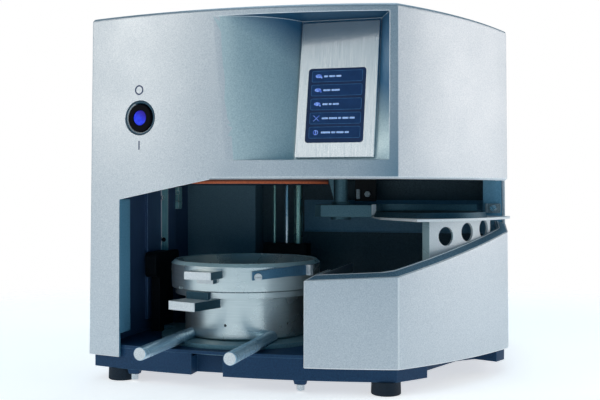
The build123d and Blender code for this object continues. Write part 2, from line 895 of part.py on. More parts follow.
# Second guide of the lift, a rail on the left wall with a carriage that runs round it
wall_face_x = bay_left_x + sheet
rail_front_y = -12.0
rail_rear_y = 8.0
rail_right_x = -170.4
rail_foot_low = 48.7
rail_foot_depth = 35.0
rail_foot_thickness = 3.0
rail_hole_x = -177.0
rail_hole_heights = (60.0, 133.6, 180.0)
rail_hole_radius = 2.4
with BuildPart() as side_rail:
    with BuildSketch(Plane.XY.offset(deck_top)):
        with Locations(((wall_face_x + rail_right_x) / 2, (rail_front_y + rail_rear_y) / 2)):
            Rectangle(rail_right_x - wall_face_x, rail_rear_y - rail_front_y)
    extrude(amount=ceiling_low - deck_top)
    with BuildSketch(Plane.XY.offset(rail_foot_low)):
        with Locations((wall_face_x + rail_foot_thickness / 2, rail_front_y - rail_foot_depth / 2)):
            Rectangle(rail_foot_thickness, rail_foot_depth)
    extrude(amount=ceiling_low - rail_foot_low)
    with BuildSketch(Plane.XZ.offset(-rail_front_y)):
        with Locations(*[(rail_hole_x, height) for height in rail_hole_heights]):
            Circle(rail_hole_radius)
    extrude(amount=-2.5, mode=Mode.SUBTRACT)
export(side_rail, "side_rail")

carriage_low = 94.5
carriage_top = 121.5
carriage_front_y = -54.0
hanger_left_x = -175.0
hanger_right_x = -166.0
hanger_y = -27.0
hanger_depth = 36.0
with BuildPart() as side_carriage:
    with BuildSketch(Plane.YZ.offset(wall_face_x + rail_foot_thickness + running_gap)):
        with Locations(((carriage_front_y + rail_rear_y) / 2, (carriage_low + carriage_top) / 2)):
            RectangleRounded(rail_rear_y - carriage_front_y, carriage_top - carriage_low, 5)
    extrude(amount=hanger_right_x - wall_face_x - rail_foot_thickness - running_gap)
    with BuildSketch(Plane.XY.offset(platform_low)):
        with Locations(((hanger_left_x + hanger_right_x) / 2, hanger_y)):
            Rectangle(hanger_right_x - hanger_left_x, hanger_depth)
    extrude(amount=carriage_low + 10 - platform_low)
    with BuildSketch(Plane.XY.offset(platform_low - 1)):
        with Locations((rail_right_x + running_gap - 10, rail_front_y - running_gap + 15)):
            Rectangle(20, 30)
    extrude(amount=carriage_top - platform_low + 2, mode=Mode.SUBTRACT)
export(side_carriage, "side_carriage")

# Light barrier at the top of the rail, with its head turned down
barrier_y = 12.0
barrier_z = 182.0
barrier_width = 14.0
barrier_height = 20.0
with BuildPart() as lift_sensor:
    with BuildSketch(Plane.XZ.offset(-barrier_y)):
        with Locations((wall_face_x + barrier_width / 2, barrier_z)):
            Rectangle(barrier_width, barrier_height)
    extrude(amount=-10)
    with BuildSketch(Plane.XZ.offset(3 - barrier_y)):
        with Locations((wall_face_x + barrier_width - 2.5, barrier_z - barrier_height / 2 - 0.5)):
            RectangleRounded(8, 9, 1.5)
    extrude(amount=-9)
    with BuildSketch(Plane.XZ.offset(-barrier_y)):
        with Locations((wall_face_x + barrier_width - 2, barrier_z + 4)):
            Circle(2.5)
    extrude(amount=-3, mode=Mode.SUBTRACT)
export(lift_sensor, "lift_sensor")

# Directions of the lugs and the notch of the bayonet, in degrees from +X about the pot's axis
pot_lug_angle = 250
ring_lug_angle = 261
ring_notch_angle = 232
lug_thickness = 8.5
pot_lug_low = 72.5
ring_lug_low = 103.1


def lug_plane(angle, z):
    """Level plane through the pot's axis, with x along a lug."""
    return Plane(origin=(pot_x, pot_y, z), x_dir=(cos(radians(angle)), sin(radians(angle)), 0))


# Pot for the granulate and the dental cast, with six air holes and the lower bayonet lug
pot_collar_radius = 73.5
pot_collar_height = 6.0
air_hole_z = 55.0
air_hole_radius = 1.25
air_holes = 6
with BuildPart() as model_pot:
    with BuildSketch(Plane.XY.offset(pot_low)):
        with Locations((pot_x, pot_y)):
            Circle(pot_radius)
    extrude(amount=pot_top - pot_low)
    fillet(model_pot.edges().group_by(Axis.Z)[0], radius=2)
    with BuildSketch(Plane.XY.offset(pot_top - pot_collar_height)):
        with Locations((pot_x, pot_y)):
            Circle(pot_collar_radius)
    extrude(amount=pot_collar_height)
    with BuildSketch(lug_plane(pot_lug_angle, pot_lug_low)):
        with Locations((79, 0)):
            RectangleRounded(42, 34, 1.5)
    extrude(amount=lug_thickness)
    with BuildSketch(lug_plane(pot_lug_angle, 76)):
        with Locations((69, 0)):
            Rectangle(16, 28)
    extrude(amount=pot_top - 76)
    with BuildSketch(Plane.XY.offset(pot_floor)):
        with Locations((pot_x, pot_y)):
            Circle(pot_bore_radius)
    extrude(amount=50, mode=Mode.SUBTRACT)
    with BuildSketch(Plane.XZ.offset(-rod_rear_y)):
        with Locations((pot_x - rod_offset, rod_z), (pot_x + rod_offset, rod_z)):
            Circle(rod_diameter / 2)
    extrude(amount=30, mode=Mode.SUBTRACT)
    for step in range(air_holes):
        azimuth = radians(360 / air_holes * step - 90)
        with BuildSketch(
            Plane(origin=(pot_x, pot_y, air_hole_z), x_dir=(0, 0, 1), z_dir=(cos(azimuth), sin(azimuth), 0))
        ):
            Circle(air_hole_radius)
        extrude(amount=70, mode=Mode.SUBTRACT)
export(model_pot, "model_pot")

with BuildPart() as handle_rods:
    with BuildSketch(Plane.XZ.offset(-rod_front_y)):
        with Locations((pot_x - rod_offset, rod_z), (pot_x + rod_offset, rod_z)):
            Circle(rod_diameter / 2)
    extrude(amount=-(rod_rear_y - rod_front_y))
    chamfer(handle_rods.edges().filter_by(GeomType.CIRCLE).group_by(Axis.Y)[0], length=rod_chamfer)
export(handle_rods, "handle_rods")

# Clamp ring: the inner ring holds the foil on the pot, the outer ring turns on it
foil_ring_top = 93.0
foil_ring_radius = 72.0
ring_bevel = 3.4
ring_rim = 6.4
screw_radius = 2.0
screw_head_radius = 3.8
screw_head_height = 2.0
lever_pivot_azimuth = 27.0
lever_tab_azimuth = 69.0
lever_pivot_z = 104.6
pivot_angle = radians(lever_pivot_azimuth - 90)
pivot_direction = (cos(pivot_angle), sin(pivot_angle), 0)
pivot_plane = Plane(origin=(pot_x, pot_y, lever_pivot_z), x_dir=(0, 0, 1), z_dir=pivot_direction)
with BuildPart() as foil_ring:
    with BuildSketch(Plane.XY.offset(ring_low)):
        with Locations((pot_x, pot_y)):
            Circle(foil_ring_radius)
            Circle(ring_bore_radius, mode=Mode.SUBTRACT)
    extrude(amount=foil_ring_top - ring_low)
export(foil_ring, "foil_ring")

with BuildPart() as clamp_ring:
    with BuildSketch(Plane.XZ.offset(-pot_y)):
        with BuildLine():
            Polyline(
                (pot_x + foil_ring_radius + running_gap, ring_low),
                (pot_x + ring_radius - 1, ring_low),
                (pot_x + ring_radius, ring_low + 1),
                (pot_x + ring_radius, ring_top - ring_bevel),
                (pot_x + ring_radius - ring_bevel, ring_top),
                (pot_x + ring_radius - ring_rim + 0.6, ring_top),
                (pot_x + ring_radius - ring_rim, ring_top - 0.6),
                (pot_x + ring_radius - ring_rim, foil_ring_top + 8),
                (pot_x + ring_bore_radius + 1, foil_ring_top + 5.5),
                (pot_x + ring_bore_radius, foil_ring_top + 4.5),
                (pot_x + ring_bore_radius, foil_ring_top + running_gap),
                (pot_x + foil_ring_radius + running_gap, foil_ring_top + running_gap),
                close=True,
            )
        make_face()
    revolve(axis=Axis((pot_x, pot_y, 0), (0, 0, 1)))
    with BuildSketch(lug_plane(ring_lug_angle, ring_lug_low)):
        with Locations((87.5, 0)):
            RectangleRounded(25, 30, 1.5)
    extrude(amount=lug_thickness - 1)
    with BuildSketch(lug_plane(ring_lug_angle, ring_lug_low - 5.1)):
        with Locations((81, 0)):
            Rectangle(8, 18)
    extrude(amount=5.6)
    with BuildSketch(lug_plane(ring_notch_angle, ring_low)):
        with Locations((78, 0)):
            Rectangle(8, 7)
    extrude(amount=3, mode=Mode.SUBTRACT)
    with BuildSketch(pivot_plane.offset(ring_radius - 2)):
        Circle(screw_radius)
    extrude(amount=4, mode=Mode.SUBTRACT)
export(clamp_ring, "clamp_ring")

# Lock lever: a curved strip that pivots on a screw in the ring's wall
lever_inner = ring_radius + 1.0
lever_outer = lever_inner + 2.6
lever_tab_depth = 8.0
lever_half_height = 4.0
lever_low = 104.0
lever_high = 114.3


def arc_strip(inner_radius, outer_radius, start, end):
    """Ring sector about the pot's axis, azimuths in degrees to the right of the front."""
    middle = (start + end) / 2
    with BuildSketch() as strip:
        with BuildLine():
            inside = ThreePointArc(
                about_pot(inner_radius, start),
                about_pot(inner_radius, middle),
                about_pot(inner_radius, end),
            )
            outside = ThreePointArc(
                about_pot(outer_radius, start),
                about_pot(outer_radius, middle),
                about_pot(outer_radius, end),
            )
            Line(inside @ 0, outside @ 0)
            Line(inside @ 1, outside @ 1)
        make_face()
    return strip.sketch


lever_strip = arc_strip(lever_inner, lever_outer, lever_pivot_azimuth - 4, lever_tab_azimuth)
tab_strip = arc_strip(lever_inner, lever_inner + lever_tab_depth, lever_tab_azimuth - 3, lever_tab_azimuth)
with BuildPart() as lever_side:
    with BuildSketch(Plane.XZ.offset(-pot_y)):
        with BuildLine():
            Polyline(
                (pot_x + 24, lever_pivot_z - lever_half_height),
                (pot_x + 60, lever_low),
                (pot_x + 90, lever_low),
                (pot_x + 90, lever_high),
                (pot_x + 66, lever_high),
                (pot_x + 24, lever_pivot_z + lever_half_height),
                close=True,
            )
        make_face()
    extrude(amount=120)

with BuildPart() as lock_lever:
    with BuildSketch(Plane.XY.offset(98)):
        add(lever_strip)
        add(tab_strip)
    extrude(amount=20)
    add(lever_side.part, mode=Mode.INTERSECT)
    with BuildSketch(pivot_plane):
        Circle(screw_radius + fit_gap)
    extrude(amount=100, mode=Mode.SUBTRACT)
export(lock_lever, "lock_lever")

with BuildPart() as lever_screw:
    with BuildSketch(pivot_plane.offset(ring_radius - 2)):
        Circle(screw_radius)
    extrude(amount=6.6)
    with BuildSketch(pivot_plane.offset(lever_outer + running_gap)):
        Circle(screw_head_radius)
    extrude(amount=screw_head_height)
    with BuildSketch(pivot_plane.offset(lever_outer + running_gap + screw_head_height)):
        Rectangle(1, 10)
    extrude(amount=-1, mode=Mode.SUBTRACT)
export(lever_screw, "lever_screw")

# Heater arm
post_top = 240.0
post_foot = 3.5
bearing_low = 206.0
bearing_front_y = 45.0
bearing_rear_y = 124.0
bearing_width = 40.0
bearing_height = 30.0
gusset_left_x = -3.2
gusset_right_x = 4.6
gusset_low = 178.0
with BuildPart() as pivot_post:
    with BuildSketch(Plane.XY.offset(arm_low - post_foot)):
        with Locations((post_x, post_y)):
            Circle(post_diameter / 2 + 4)
    extrude(amount=post_foot - running_gap)
    with BuildSketch(Plane.XY.offset(arm_low - running_gap)):
        with Locations((post_x, post_y)):
            Circle(post_diameter / 2)
    extrude(amount=post_top - arm_low)
export(pivot_post, "pivot_post")

with BuildPart() as post_bearing:
    with BuildSketch(Plane.XY.offset(bearing_low)):
        with Locations((post_x, (bearing_front_y + bearing_rear_y) / 2)):
            RectangleRounded(bearing_width, bearing_rear_y - bearing_front_y, 4)
        with Locations((post_x, post_y)):
            Circle(post_diameter / 2 + fit_gap, mode=Mode.SUBTRACT)
    extrude(amount=bearing_height)
    with BuildSketch(Plane.XZ.offset(-post_y + 3)):
        with BuildLine():
            Polyline(
                (gusset_left_x, bearing_low + 1),
                (gusset_right_x, bearing_low + 1),
                (gusset_right_x, gusset_low),
                close=True,
            )
        make_face()
    extrude(amount=-6)
export(post_bearing, "post_bearing")

hub_top = 172.0
hub_left = -15.0
hub_right = 53.0
hub_front = 36.0
hub_rear = 74.0
hub_chamfer = 9.0
hub_collar = 3.0
with BuildPart() as arm_hub:
    with BuildSketch(Plane.XY.offset(arm_low)):
        with Locations(((hub_left + hub_right) / 2, (hub_front + hub_rear) / 2)):
            Rectangle(hub_right - hub_left, hub_rear - hub_front)
        with Locations((post_x, post_y)):
            Circle(post_diameter / 2 + fit_gap, mode=Mode.SUBTRACT)
    extrude(amount=hub_top - arm_low)
    chamfer(arm_hub.edges().filter_by(Axis.Z).sort_by(Axis.X)[:2], length=hub_chamfer)
    with BuildSketch(Plane.XY.offset(hub_top)):
        with Locations((post_x, post_y)):
            Circle(post_diameter / 2 + hub_collar)
            Circle(post_diameter / 2 + fit_gap, mode=Mode.SUBTRACT)
    extrude(amount=hub_collar)
export(arm_hub, "arm_hub")

heater_centre = about_post(heater_reach, heater_angle)
arm_start = about_post(arm_radius, -55)
arm_middle = about_post(arm_radius, -30)
arm_end = about_post(arm_radius, -6)
wall_start = (hub_right + running_gap, 30.0)
wall_end = (166.0, 50.0)
with BuildPart() as arm_plate:
    with BuildSketch(Plane.XY.offset(arm_low)):
        with BuildLine():
            ThreePointArc(arm_start, arm_middle, arm_end)
            Polyline(arm_end, wall_end, (wall_start[0], 62), wall_start, (77.3, -43.6), arm_start)
        make_face()
        with Locations(heater_centre):
            Circle(heater_window, mode=Mode.SUBTRACT)
    extrude(amount=arm_plate_top - arm_low)
    with BuildSketch(Plane.XY.offset(arm_plate_top)):
        with BuildLine():
            Polyline(
                wall_start,
                (wall_start[0] + 5, wall_start[1] + 1),
                (wall_start[0] + 5, 58),
                wall_end,
                (wall_end[0] - 1, wall_end[1] + 2),
                (wall_start[0], 61),
                close=True,
            )
        make_face()
    extrude(amount=hub_top + 1 - arm_plate_top)
export(arm_plate, "arm_plate")

with BuildPart() as heater_pan:
    with BuildSketch(Plane.XY.offset(arm_plate_top)):
        with Locations(heater_centre):
            Circle(heater_radius)
    extrude(amount=pan_height, taper=pan_taper)
    with BuildSketch(Plane.XY.offset(arm_plate_top)):
        with Locations(heater_centre):
            Circle(heater_window)
    extrude(amount=pan_height - 1.5, taper=pan_taper, mode=Mode.SUBTRACT)
export(heater_pan, "heater_pan")

# Infrared heating element under the pan, a flat spiral drawn as concentric bars joined by a spoke
with BuildPart() as heater_element:
    with BuildSketch(Plane.XY.offset(arm_plate_top + 0.5)):
        for radius in (48, 36, 24, 12):
            with Locations(heater_centre):
                Circle(radius)
                Circle(radius - 6, mode=Mode.SUBTRACT)
        with Locations(heater_centre):
            Rectangle(4, 94)
    extrude(amount=element_height)
export(heater_element, "heater_element")

with BuildPart() as heater_guard:
    with BuildSketch(Plane.XY.offset(arm_low)):
        for radius in (heater_window - 0.1, 40, 27, 14):
            with Locations(heater_centre):
                Circle(radius)
                Circle(radius - guard_bar, mode=Mode.SUBTRACT)
        with Locations(heater_centre):
            Rectangle(guard_bar, 2 * heater_window - 1)
            Rectangle(2 * heater_window - 1, guard_bar)
    extrude(amount=guard_bar)
export(heater_guard, "heater_guard")

# Grip plate under the arm, bent round the post, with three holes that keep it light and cool


def grip_strip(start, end, inner_radius, outer_radius):
    middle = (start + end) / 2
    with BuildSketch() as strip:
        with BuildLine():
            inside = ThreePointArc(
                about_post(inner_radius, start),
                about_post(inner_radius, middle),
                about_post(inner_radius, end),
            )
            outside = ThreePointArc(
                about_post(outer_radius, start),
                about_post(outer_radius, middle),
                about_post(outer_radius, end),
            )
            Line(inside @ 0, outside @ 0)
            Line(inside @ 1, outside @ 1)
        make_face()
    return strip.sketch


grip_front = grip_strip(
    handle_start, handle_end, handle_radius - handle_thickness / 2, handle_radius + handle_thickness / 2
)
grip_flange = grip_strip(
    handle_start - 0.8, handle_start, handle_radius - 11, handle_radius + handle_thickness / 2
)
low_start = about_post(handle_radius, handle_start)
low_end = about_post(handle_radius, handle_end)
low_slope = (handle_low_end - handle_low_start) / sqrt(
    (low_end[0] - low_start[0]) ** 2 + (low_end[1] - low_start[1]) ** 2
)
low_angle = atan2(low_end[1] - low_start[1], low_end[0] - low_start[0])
low_plane = Plane(
    origin=(low_start[0], low_start[1], handle_low_start),
    x_dir=(sin(low_angle), -cos(low_angle), 0),
    z_dir=(-low_slope * cos(low_angle), -low_slope * sin(low_angle), 1),
)
grip_holes = ((-42.4, 143.6), (-32.7, 146.9), (-23.0, 149.4))
grip_hole_radius = 9.25

with BuildPart() as handle_plate:
    with BuildSketch(Plane.XY.offset(arm_low)):
        add(grip_front)
        add(grip_flange)
    extrude(amount=-50)
    with BuildSketch(low_plane):
        Rectangle(400, 400)
    extrude(amount=-60, mode=Mode.SUBTRACT)
    for hole_angle, hole_z in grip_holes:
        with BuildSketch(
            Plane(
                origin=(post_x, post_y, hole_z),
                x_dir=(0, 0, 1),
                z_dir=(cos(radians(hole_angle)), sin(radians(hole_angle)), 0),
            ).offset(handle_radius - 8)
        ):
            Circle(grip_hole_radius)
        extrude(amount=16, mode=Mode.SUBTRACT)
export(handle_plate, "handle_plate")

# Home sensor under the ceiling and the arm's stop on the rear right column
sensor_x = 39.0
sensor_low = 176.0
sensor_y = 66.0
sensor_width = 24.0
sensor_boss_z = 184.0
with BuildPart() as home_sensor:
    with BuildSketch(Plane.XZ.offset(-sensor_y)):
        with Locations((sensor_x, (sensor_low + ceiling_low + ceiling_lift) / 2)):
            Rectangle(sensor_width, ceiling_low + ceiling_lift - sensor_low)
    extrude(amount=-5)
    with BuildSketch(Plane.XZ.offset(-sensor_y)):
        with Locations((sensor_x - 8, sensor_boss_z)):
            RectangleRounded(4, 11, 1)
        with Locations((sensor_x + 3, sensor_boss_z)):
            RegularPolygon(3.6, 6)
    extrude(amount=3)
export(home_sensor, "home_sensor")

stop_x = 183.0
stop_z = 169.0
stop_sheet = 1.6
stop_width = 16.0
stop_height = 10.0
stop_screw_radius = 2.2
with BuildPart() as stop_bracket:
    with BuildSketch(Plane.XZ.offset(-column_liner_front_y)):
        with Locations((stop_x, stop_z)):
            RectangleRounded(stop_width, stop_height, 1)
            Circle(stop_screw_radius, mode=Mode.SUBTRACT)
    extrude(amount=stop_sheet)
    with BuildSketch(Plane.XY.offset(stop_z - stop_height / 2)):
        with Locations((stop_x - 7, column_front_y - 4.2)):
            Rectangle(stop_sheet, 6)
    extrude(amount=stop_height)
export(stop_bracket, "stop_bracket")

with BuildPart() as stop_screw:
    with BuildSketch(Plane.XZ.offset(-column_liner_front_y)):
        with Locations((stop_x, stop_z)):
            Circle(stop_screw_radius)
    extrude(amount=stop_sheet)
    with BuildSketch(Plane.XZ.offset(stop_sheet - column_liner_front_y)):
        with Locations((stop_x, stop_z)):
            Circle(3.6)
            Rectangle(1, 9, rotation=35, mode=Mode.SUBTRACT)
    extrude(amount=1.4)
export(stop_screw, "stop_screw")

# Rear panel with mains inlet, air coupling and fan vent
rear_y = 208.0
vent_x = 100.0
vent_z = 255.0
inlet_x = -120.0
inlet_z = 80.0
inlet_flange = 2.6
inlet_depth = 22.0
inlet_bore = (24.0, 16.0)
air_x = -40.0
air_bore_radius = 3.0
air_nut_radius = 10.0
air_pipe_radius = 6.9
vent_rows = 9
vent_pitch = 8.0
vent_slot = (70.0, 4.0)
fan_size = 80.0
fan_depth = 20.0
fan_bore_radius = 37.0
fan_hub_radius = 16.0
fan_blades = 4
with BuildPart() as rear_panel:
    with BuildSketch(Plane.XZ.offset(-rear_y + 2)):
        with Locations(rear_centre):
            RectangleRounded(
                rear_opening_width + 2 * rear_overlap, rear_opening_height + 2 * rear_overlap, rear_corner
            )
        with Locations((inlet_x, inlet_z)):
            Rectangle(inlet_bore[0] + 4, inlet_bore[1] + 4, mode=Mode.SUBTRACT)
        with Locations((air_x, inlet_z)):
            Circle(air_pipe_radius + 0.1, mode=Mode.SUBTRACT)
        for row in range(vent_rows):
            with Locations((vent_x, vent_z + vent_pitch * (row - (vent_rows - 1) / 2))):
                SlotOverall(*vent_slot, mode=Mode.SUBTRACT)
    extrude(amount=-2)
export(rear_panel, "rear_panel")

with BuildPart() as mains_inlet:
    with BuildSketch(Plane.XZ.offset(-rear_y)):
        with Locations((inlet_x, inlet_z)):
            RectangleRounded(48, 30, 4)
    extrude(amount=-inlet_flange)
    with BuildSketch(Plane.XZ.offset(-rear_y)):
        with Locations((inlet_x, inlet_z)):
            Rectangle(inlet_bore[0] + 3.6, inlet_bore[1] + 3.6)
    extrude(amount=inlet_depth)
    with BuildSketch(Plane.XZ.offset(-rear_y - inlet_flange)):
        with Locations((inlet_x, inlet_z)):
            Rectangle(*inlet_bore)
    extrude(amount=18, mode=Mode.SUBTRACT)
    with BuildSketch(Plane.XZ.offset(-rear_y + 16)):
        with Locations((inlet_x - 7, inlet_z - 2), (inlet_x, inlet_z + 2), (inlet_x + 7, inlet_z - 2)):
            Rectangle(2, 5)
    extrude(amount=-9)
export(mains_inlet, "mains_inlet")

with BuildPart() as air_coupling:
    with BuildSketch(Plane.XZ.offset(-rear_y)):
        with Locations((air_x, inlet_z)):
            RegularPolygon(air_nut_radius, 6)
            Circle(air_bore_radius, mode=Mode.SUBTRACT)
    extrude(amount=-2.8)
    with BuildSketch(Plane.XZ.offset(-rear_y + 12)):
        with Locations((air_x, inlet_z)):
            Circle(air_pipe_radius)
            Circle(air_bore_radius, mode=Mode.SUBTRACT)
    extrude(amount=-12)
export(air_coupling, "air_coupling")

with BuildPart() as vent_fan:
    with BuildSketch(Plane.XZ.offset(-rear_y + 4)):
        with Locations((vent_x, vent_z)):
            RectangleRounded(fan_size, fan_size, 5)
            Circle(fan_bore_radius, mode=Mode.SUBTRACT)
    extrude(amount=fan_depth)
    with BuildSketch(Plane.XZ.offset(-rear_y + 10)):
        with Locations((vent_x, vent_z)):
            Circle(fan_hub_radius)
            with PolarLocations(27, fan_blades):
                Rectangle(26, 3)
    extrude(amount=12)
export(vent_fan, "vent_fan")

# Power supply on the deck and the air tank behind the cover
supply_place = (80.0, 165.0)
supply_size = (120.0, 50.0)
supply_height = 70.0
tank_place = (-150.0, 300.0)
tank_front_y = 118.0
tank_length = 80.0
tank_radius = 26.0
with BuildPart() as power_supply:
    with BuildSketch(Plane.XY.offset(deck_top)):
        with Locations(supply_place):
            Rectangle(*supply_size)
    extrude(amount=supply_height)
export(power_supply, "power_supply")

with BuildPart() as air_tank:
    with BuildSketch(Plane.XZ.offset(-tank_front_y)):
        with Locations(tank_place):
            Circle(tank_radius)
    extrude(amount=-tank_length)
    fillet(air_tank.edges().filter_by(GeomType.CIRCLE), radius=12)
export(air_tank, "air_tank")
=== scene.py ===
import bmesh
import bpy
import math
from math import inf
from mathutils import Matrix, Vector


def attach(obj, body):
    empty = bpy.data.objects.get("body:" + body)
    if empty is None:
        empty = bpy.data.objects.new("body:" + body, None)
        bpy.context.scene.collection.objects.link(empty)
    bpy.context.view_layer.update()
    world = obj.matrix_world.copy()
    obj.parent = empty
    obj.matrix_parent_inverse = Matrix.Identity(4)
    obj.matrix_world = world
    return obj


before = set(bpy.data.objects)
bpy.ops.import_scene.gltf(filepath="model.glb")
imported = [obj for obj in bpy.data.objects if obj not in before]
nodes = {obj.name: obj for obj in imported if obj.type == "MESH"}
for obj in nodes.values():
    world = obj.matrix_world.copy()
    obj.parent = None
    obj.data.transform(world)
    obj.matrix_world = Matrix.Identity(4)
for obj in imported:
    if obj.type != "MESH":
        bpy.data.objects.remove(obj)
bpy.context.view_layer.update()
print("stage: frame loaded, nodes:", len(nodes))

mm = 0.001

# Camera, floor and lights
view = {
    "place": (0.2420, -0.9453, 0.1888),
    "turn": 15.5,  # degrees from straight ahead, towards the left
    "pitch": -0.64,
    "lens": 54.0,
    "sensor": 36.0,
    "nearest": 0.05,
}
studio = {
    "floorHex": "#fafbfb",
    "floorSize": 6.0,
    "floorRoughness": 0.9,
    "floorLift": 0.6,
    "fadeStart": 0.42,
    "fadeEnd": 0.95,
    "horizonHex": "#447f9c",
    "zenithHex": "#457389",
    "horizonEnd": 0.05,  # heights on the unit sphere between which the sky changes tone
    "zenithStart": 0.75,
    "worldStrength": 0.85,
}
# Azimuths in degrees to the right of the user's side, distances in metres from the device's axis
lamps = {
    "keyLeft": {
        "azimuth": -46, "high": 0.95, "far": 2.0, "wide": 1.1, "tall": 1.4, "watts": 10.8, "hex": "#fff1e4",
    },
    "keyFront": {
        "azimuth": -12, "high": 1.2, "far": 2.2, "wide": 0.8, "tall": 0.9, "watts": 3, "hex": "#fff6f0",
    },
    "sideRight": {
        "azimuth": 110, "high": 0.8, "far": 2.2, "wide": 2.2, "tall": 1.5, "watts": 18.3, "hex": "#ffefe4",
    },
    "topSoft": {
        "azimuth": 180, "high": 2.1, "far": 0.5, "wide": 1.8, "tall": 1.8, "watts": 11, "hex": "#d8ebf8",
    },
}
lampAim = (0.0, 0.0, 0.19)


def linearColour(hexCode):
    # sRGB hex to the linear values that the shaders read
    channels = [int(hexCode[i : i + 2], 16) / 255 for i in (1, 3, 5)]
    linear = [c / 12.92 if c <= 0.04045 else ((c + 0.055) / 1.055) ** 2.4 for c in channels]
    return (*linear, 1.0)


def addNode(tree, kind, settings=None, values=None, links=None):
    # settings are the node's own properties, values fill sockets, links join sockets to outputs
    node = tree.nodes.new(kind)
    for name, value in (settings or {}).items():
        setattr(node, name, value)
    for name, value in (values or {}).items():
        node.inputs[name].default_value = value
    for name, source in (links or {}).items():
        tree.links.new(source, node.inputs[name])
    return node


def newObject(name, mesh):
    thing = bpy.data.objects.new(name, mesh)
    bpy.context.scene.collection.objects.link(thing)
    return thing


cameraData = bpy.data.cameras.new("photoCamera")
cameraData.lens = view["lens"]
cameraData.sensor_width = view["sensor"]
cameraData.clip_start = view["nearest"]
photoCamera = newObject("photoCamera", cameraData)
photoCamera.location = view["place"]
photoCamera.rotation_euler = (math.radians(90 + view["pitch"]), 0, math.radians(view["turn"]))
bpy.context.scene.camera = photoCamera
bpy.context.scene.view_settings.view_transform = "Standard"

for lampName, lamp in lamps.items():
    lampData = bpy.data.lights.new(lampName, "AREA")
    lampData.shape = "RECTANGLE"
    lampData.size = lamp["wide"]
    lampData.size_y = lamp["tall"]
    lampData.energy = lamp["watts"]
    lampData.color = linearColour(lamp["hex"])[:3]
    lampObject = newObject(lampName, lampData)
    azimuth = math.radians(lamp["azimuth"])
    place = Vector((lamp["far"] * math.sin(azimuth), -lamp["far"] * math.cos(azimuth), lamp["high"]))
    lampObject.location = place
    lampObject.rotation_euler = (Vector(lampAim) - place).to_track_quat("-Z", "Y").to_euler()

world = bpy.data.worlds.new("studioWorld")
bpy.context.scene.world = world
world.use_nodes = True
worldTree = world.node_tree
worldTree.nodes.clear()
rays = addNode(worldTree, "ShaderNodeLightPath")
skyPoint = addNode(worldTree, "ShaderNodeTexCoord")
skyHeight = addNode(worldTree, "ShaderNodeSeparateXYZ", links={0: skyPoint.outputs["Generated"]})
skyTone = addNode(worldTree, "ShaderNodeValToRGB", links={"Fac": skyHeight.outputs["Z"]})
skyTone.color_ramp.elements[0].position = studio["horizonEnd"]
skyTone.color_ramp.elements[0].color = linearColour(studio["horizonHex"])
skyTone.color_ramp.elements[1].position = studio["zenithStart"]
skyTone.color_ramp.elements[1].color = linearColour(studio["zenithHex"])
room = addNode(
    worldTree, "ShaderNodeBackground",
    values={"Strength": studio["worldStrength"]}, links={"Color": skyTone.outputs["Color"]},
)
backdrop = addNode(worldTree, "ShaderNodeBackground", values={"Color": (1, 1, 1, 1), "Strength": 1.0})
worldMix = addNode(
    worldTree, "ShaderNodeMixShader",
    links={0: rays.outputs["Is Camera Ray"], 1: room.outputs[0], 2: backdrop.outputs[0]},
)
addNode(worldTree, "ShaderNodeOutputWorld", links={"Surface": worldMix.outputs[0]})

floorMesh = bpy.data.meshes.new("studioFloor")
half = studio["floorSize"] / 2
floorMesh.from_pydata(
    [(-half, -half, 0), (half, -half, 0), (half, half, 0), (-half, half, 0)], [], [(0, 1, 2, 3)]
)
studioFloor = newObject("studioFloor", floorMesh)
# White paper that keeps the soft shadow near the device and fades out into the white backdrop
floorPaper = bpy.data.materials.new("whitePaperFloor")
floorPaper.use_nodes = True
floorTree = floorPaper.node_tree
paper = floorTree.nodes["Principled BSDF"]
paper.inputs["Base Color"].default_value = linearColour(studio["floorHex"])
paper.inputs["Roughness"].default_value = studio["floorRoughness"]
paper.inputs["Specular IOR Level"].default_value = 0.0
floorPoint = addNode(floorTree, "ShaderNodeTexCoord")
floorReach = addNode(
    floorTree, "ShaderNodeVectorMath", settings={"operation": "LENGTH"},
    links={0: floorPoint.outputs["Object"]},
)
floorFade = addNode(
    floorTree, "ShaderNodeMapRange", settings={"interpolation_type": "SMOOTHSTEP"},
    values={"From Min": studio["fadeStart"], "From Max": studio["fadeEnd"]},
    links={"Value": floorReach.outputs["Value"]},
)
# The paper is lifted to white, and its shadow stays
floorRays = addNode(floorTree, "ShaderNodeLightPath")
floorGlow = addNode(
    floorTree, "ShaderNodeEmission", values={"Color": (1, 1, 1, 1), "Strength": studio["floorLift"]}
)
liftedPaper = addNode(floorTree, "ShaderNodeAddShader", links={0: paper.outputs[0], 1: floorGlow.outputs[0]})
clearFloor = addNode(floorTree, "ShaderNodeBsdfTransparent")
cameraFade = addNode(
    floorTree, "ShaderNodeMath", settings={"operation": "MULTIPLY"},
    links={0: floorFade.outputs["Result"], 1: floorRays.outputs["Is Camera Ray"]},
)
floorMix = addNode(
    floorTree, "ShaderNodeMixShader",
    links={0: cameraFade.outputs["Value"], 1: liftedPaper.outputs[0], 2: clearFloor.outputs[0]},
)
floorTree.links.new(floorMix.outputs[0], floorTree.nodes["Material Output"].inputs["Surface"])
floorMesh.materials.append(floorPaper)
print("stage: camera, lamps and floor")

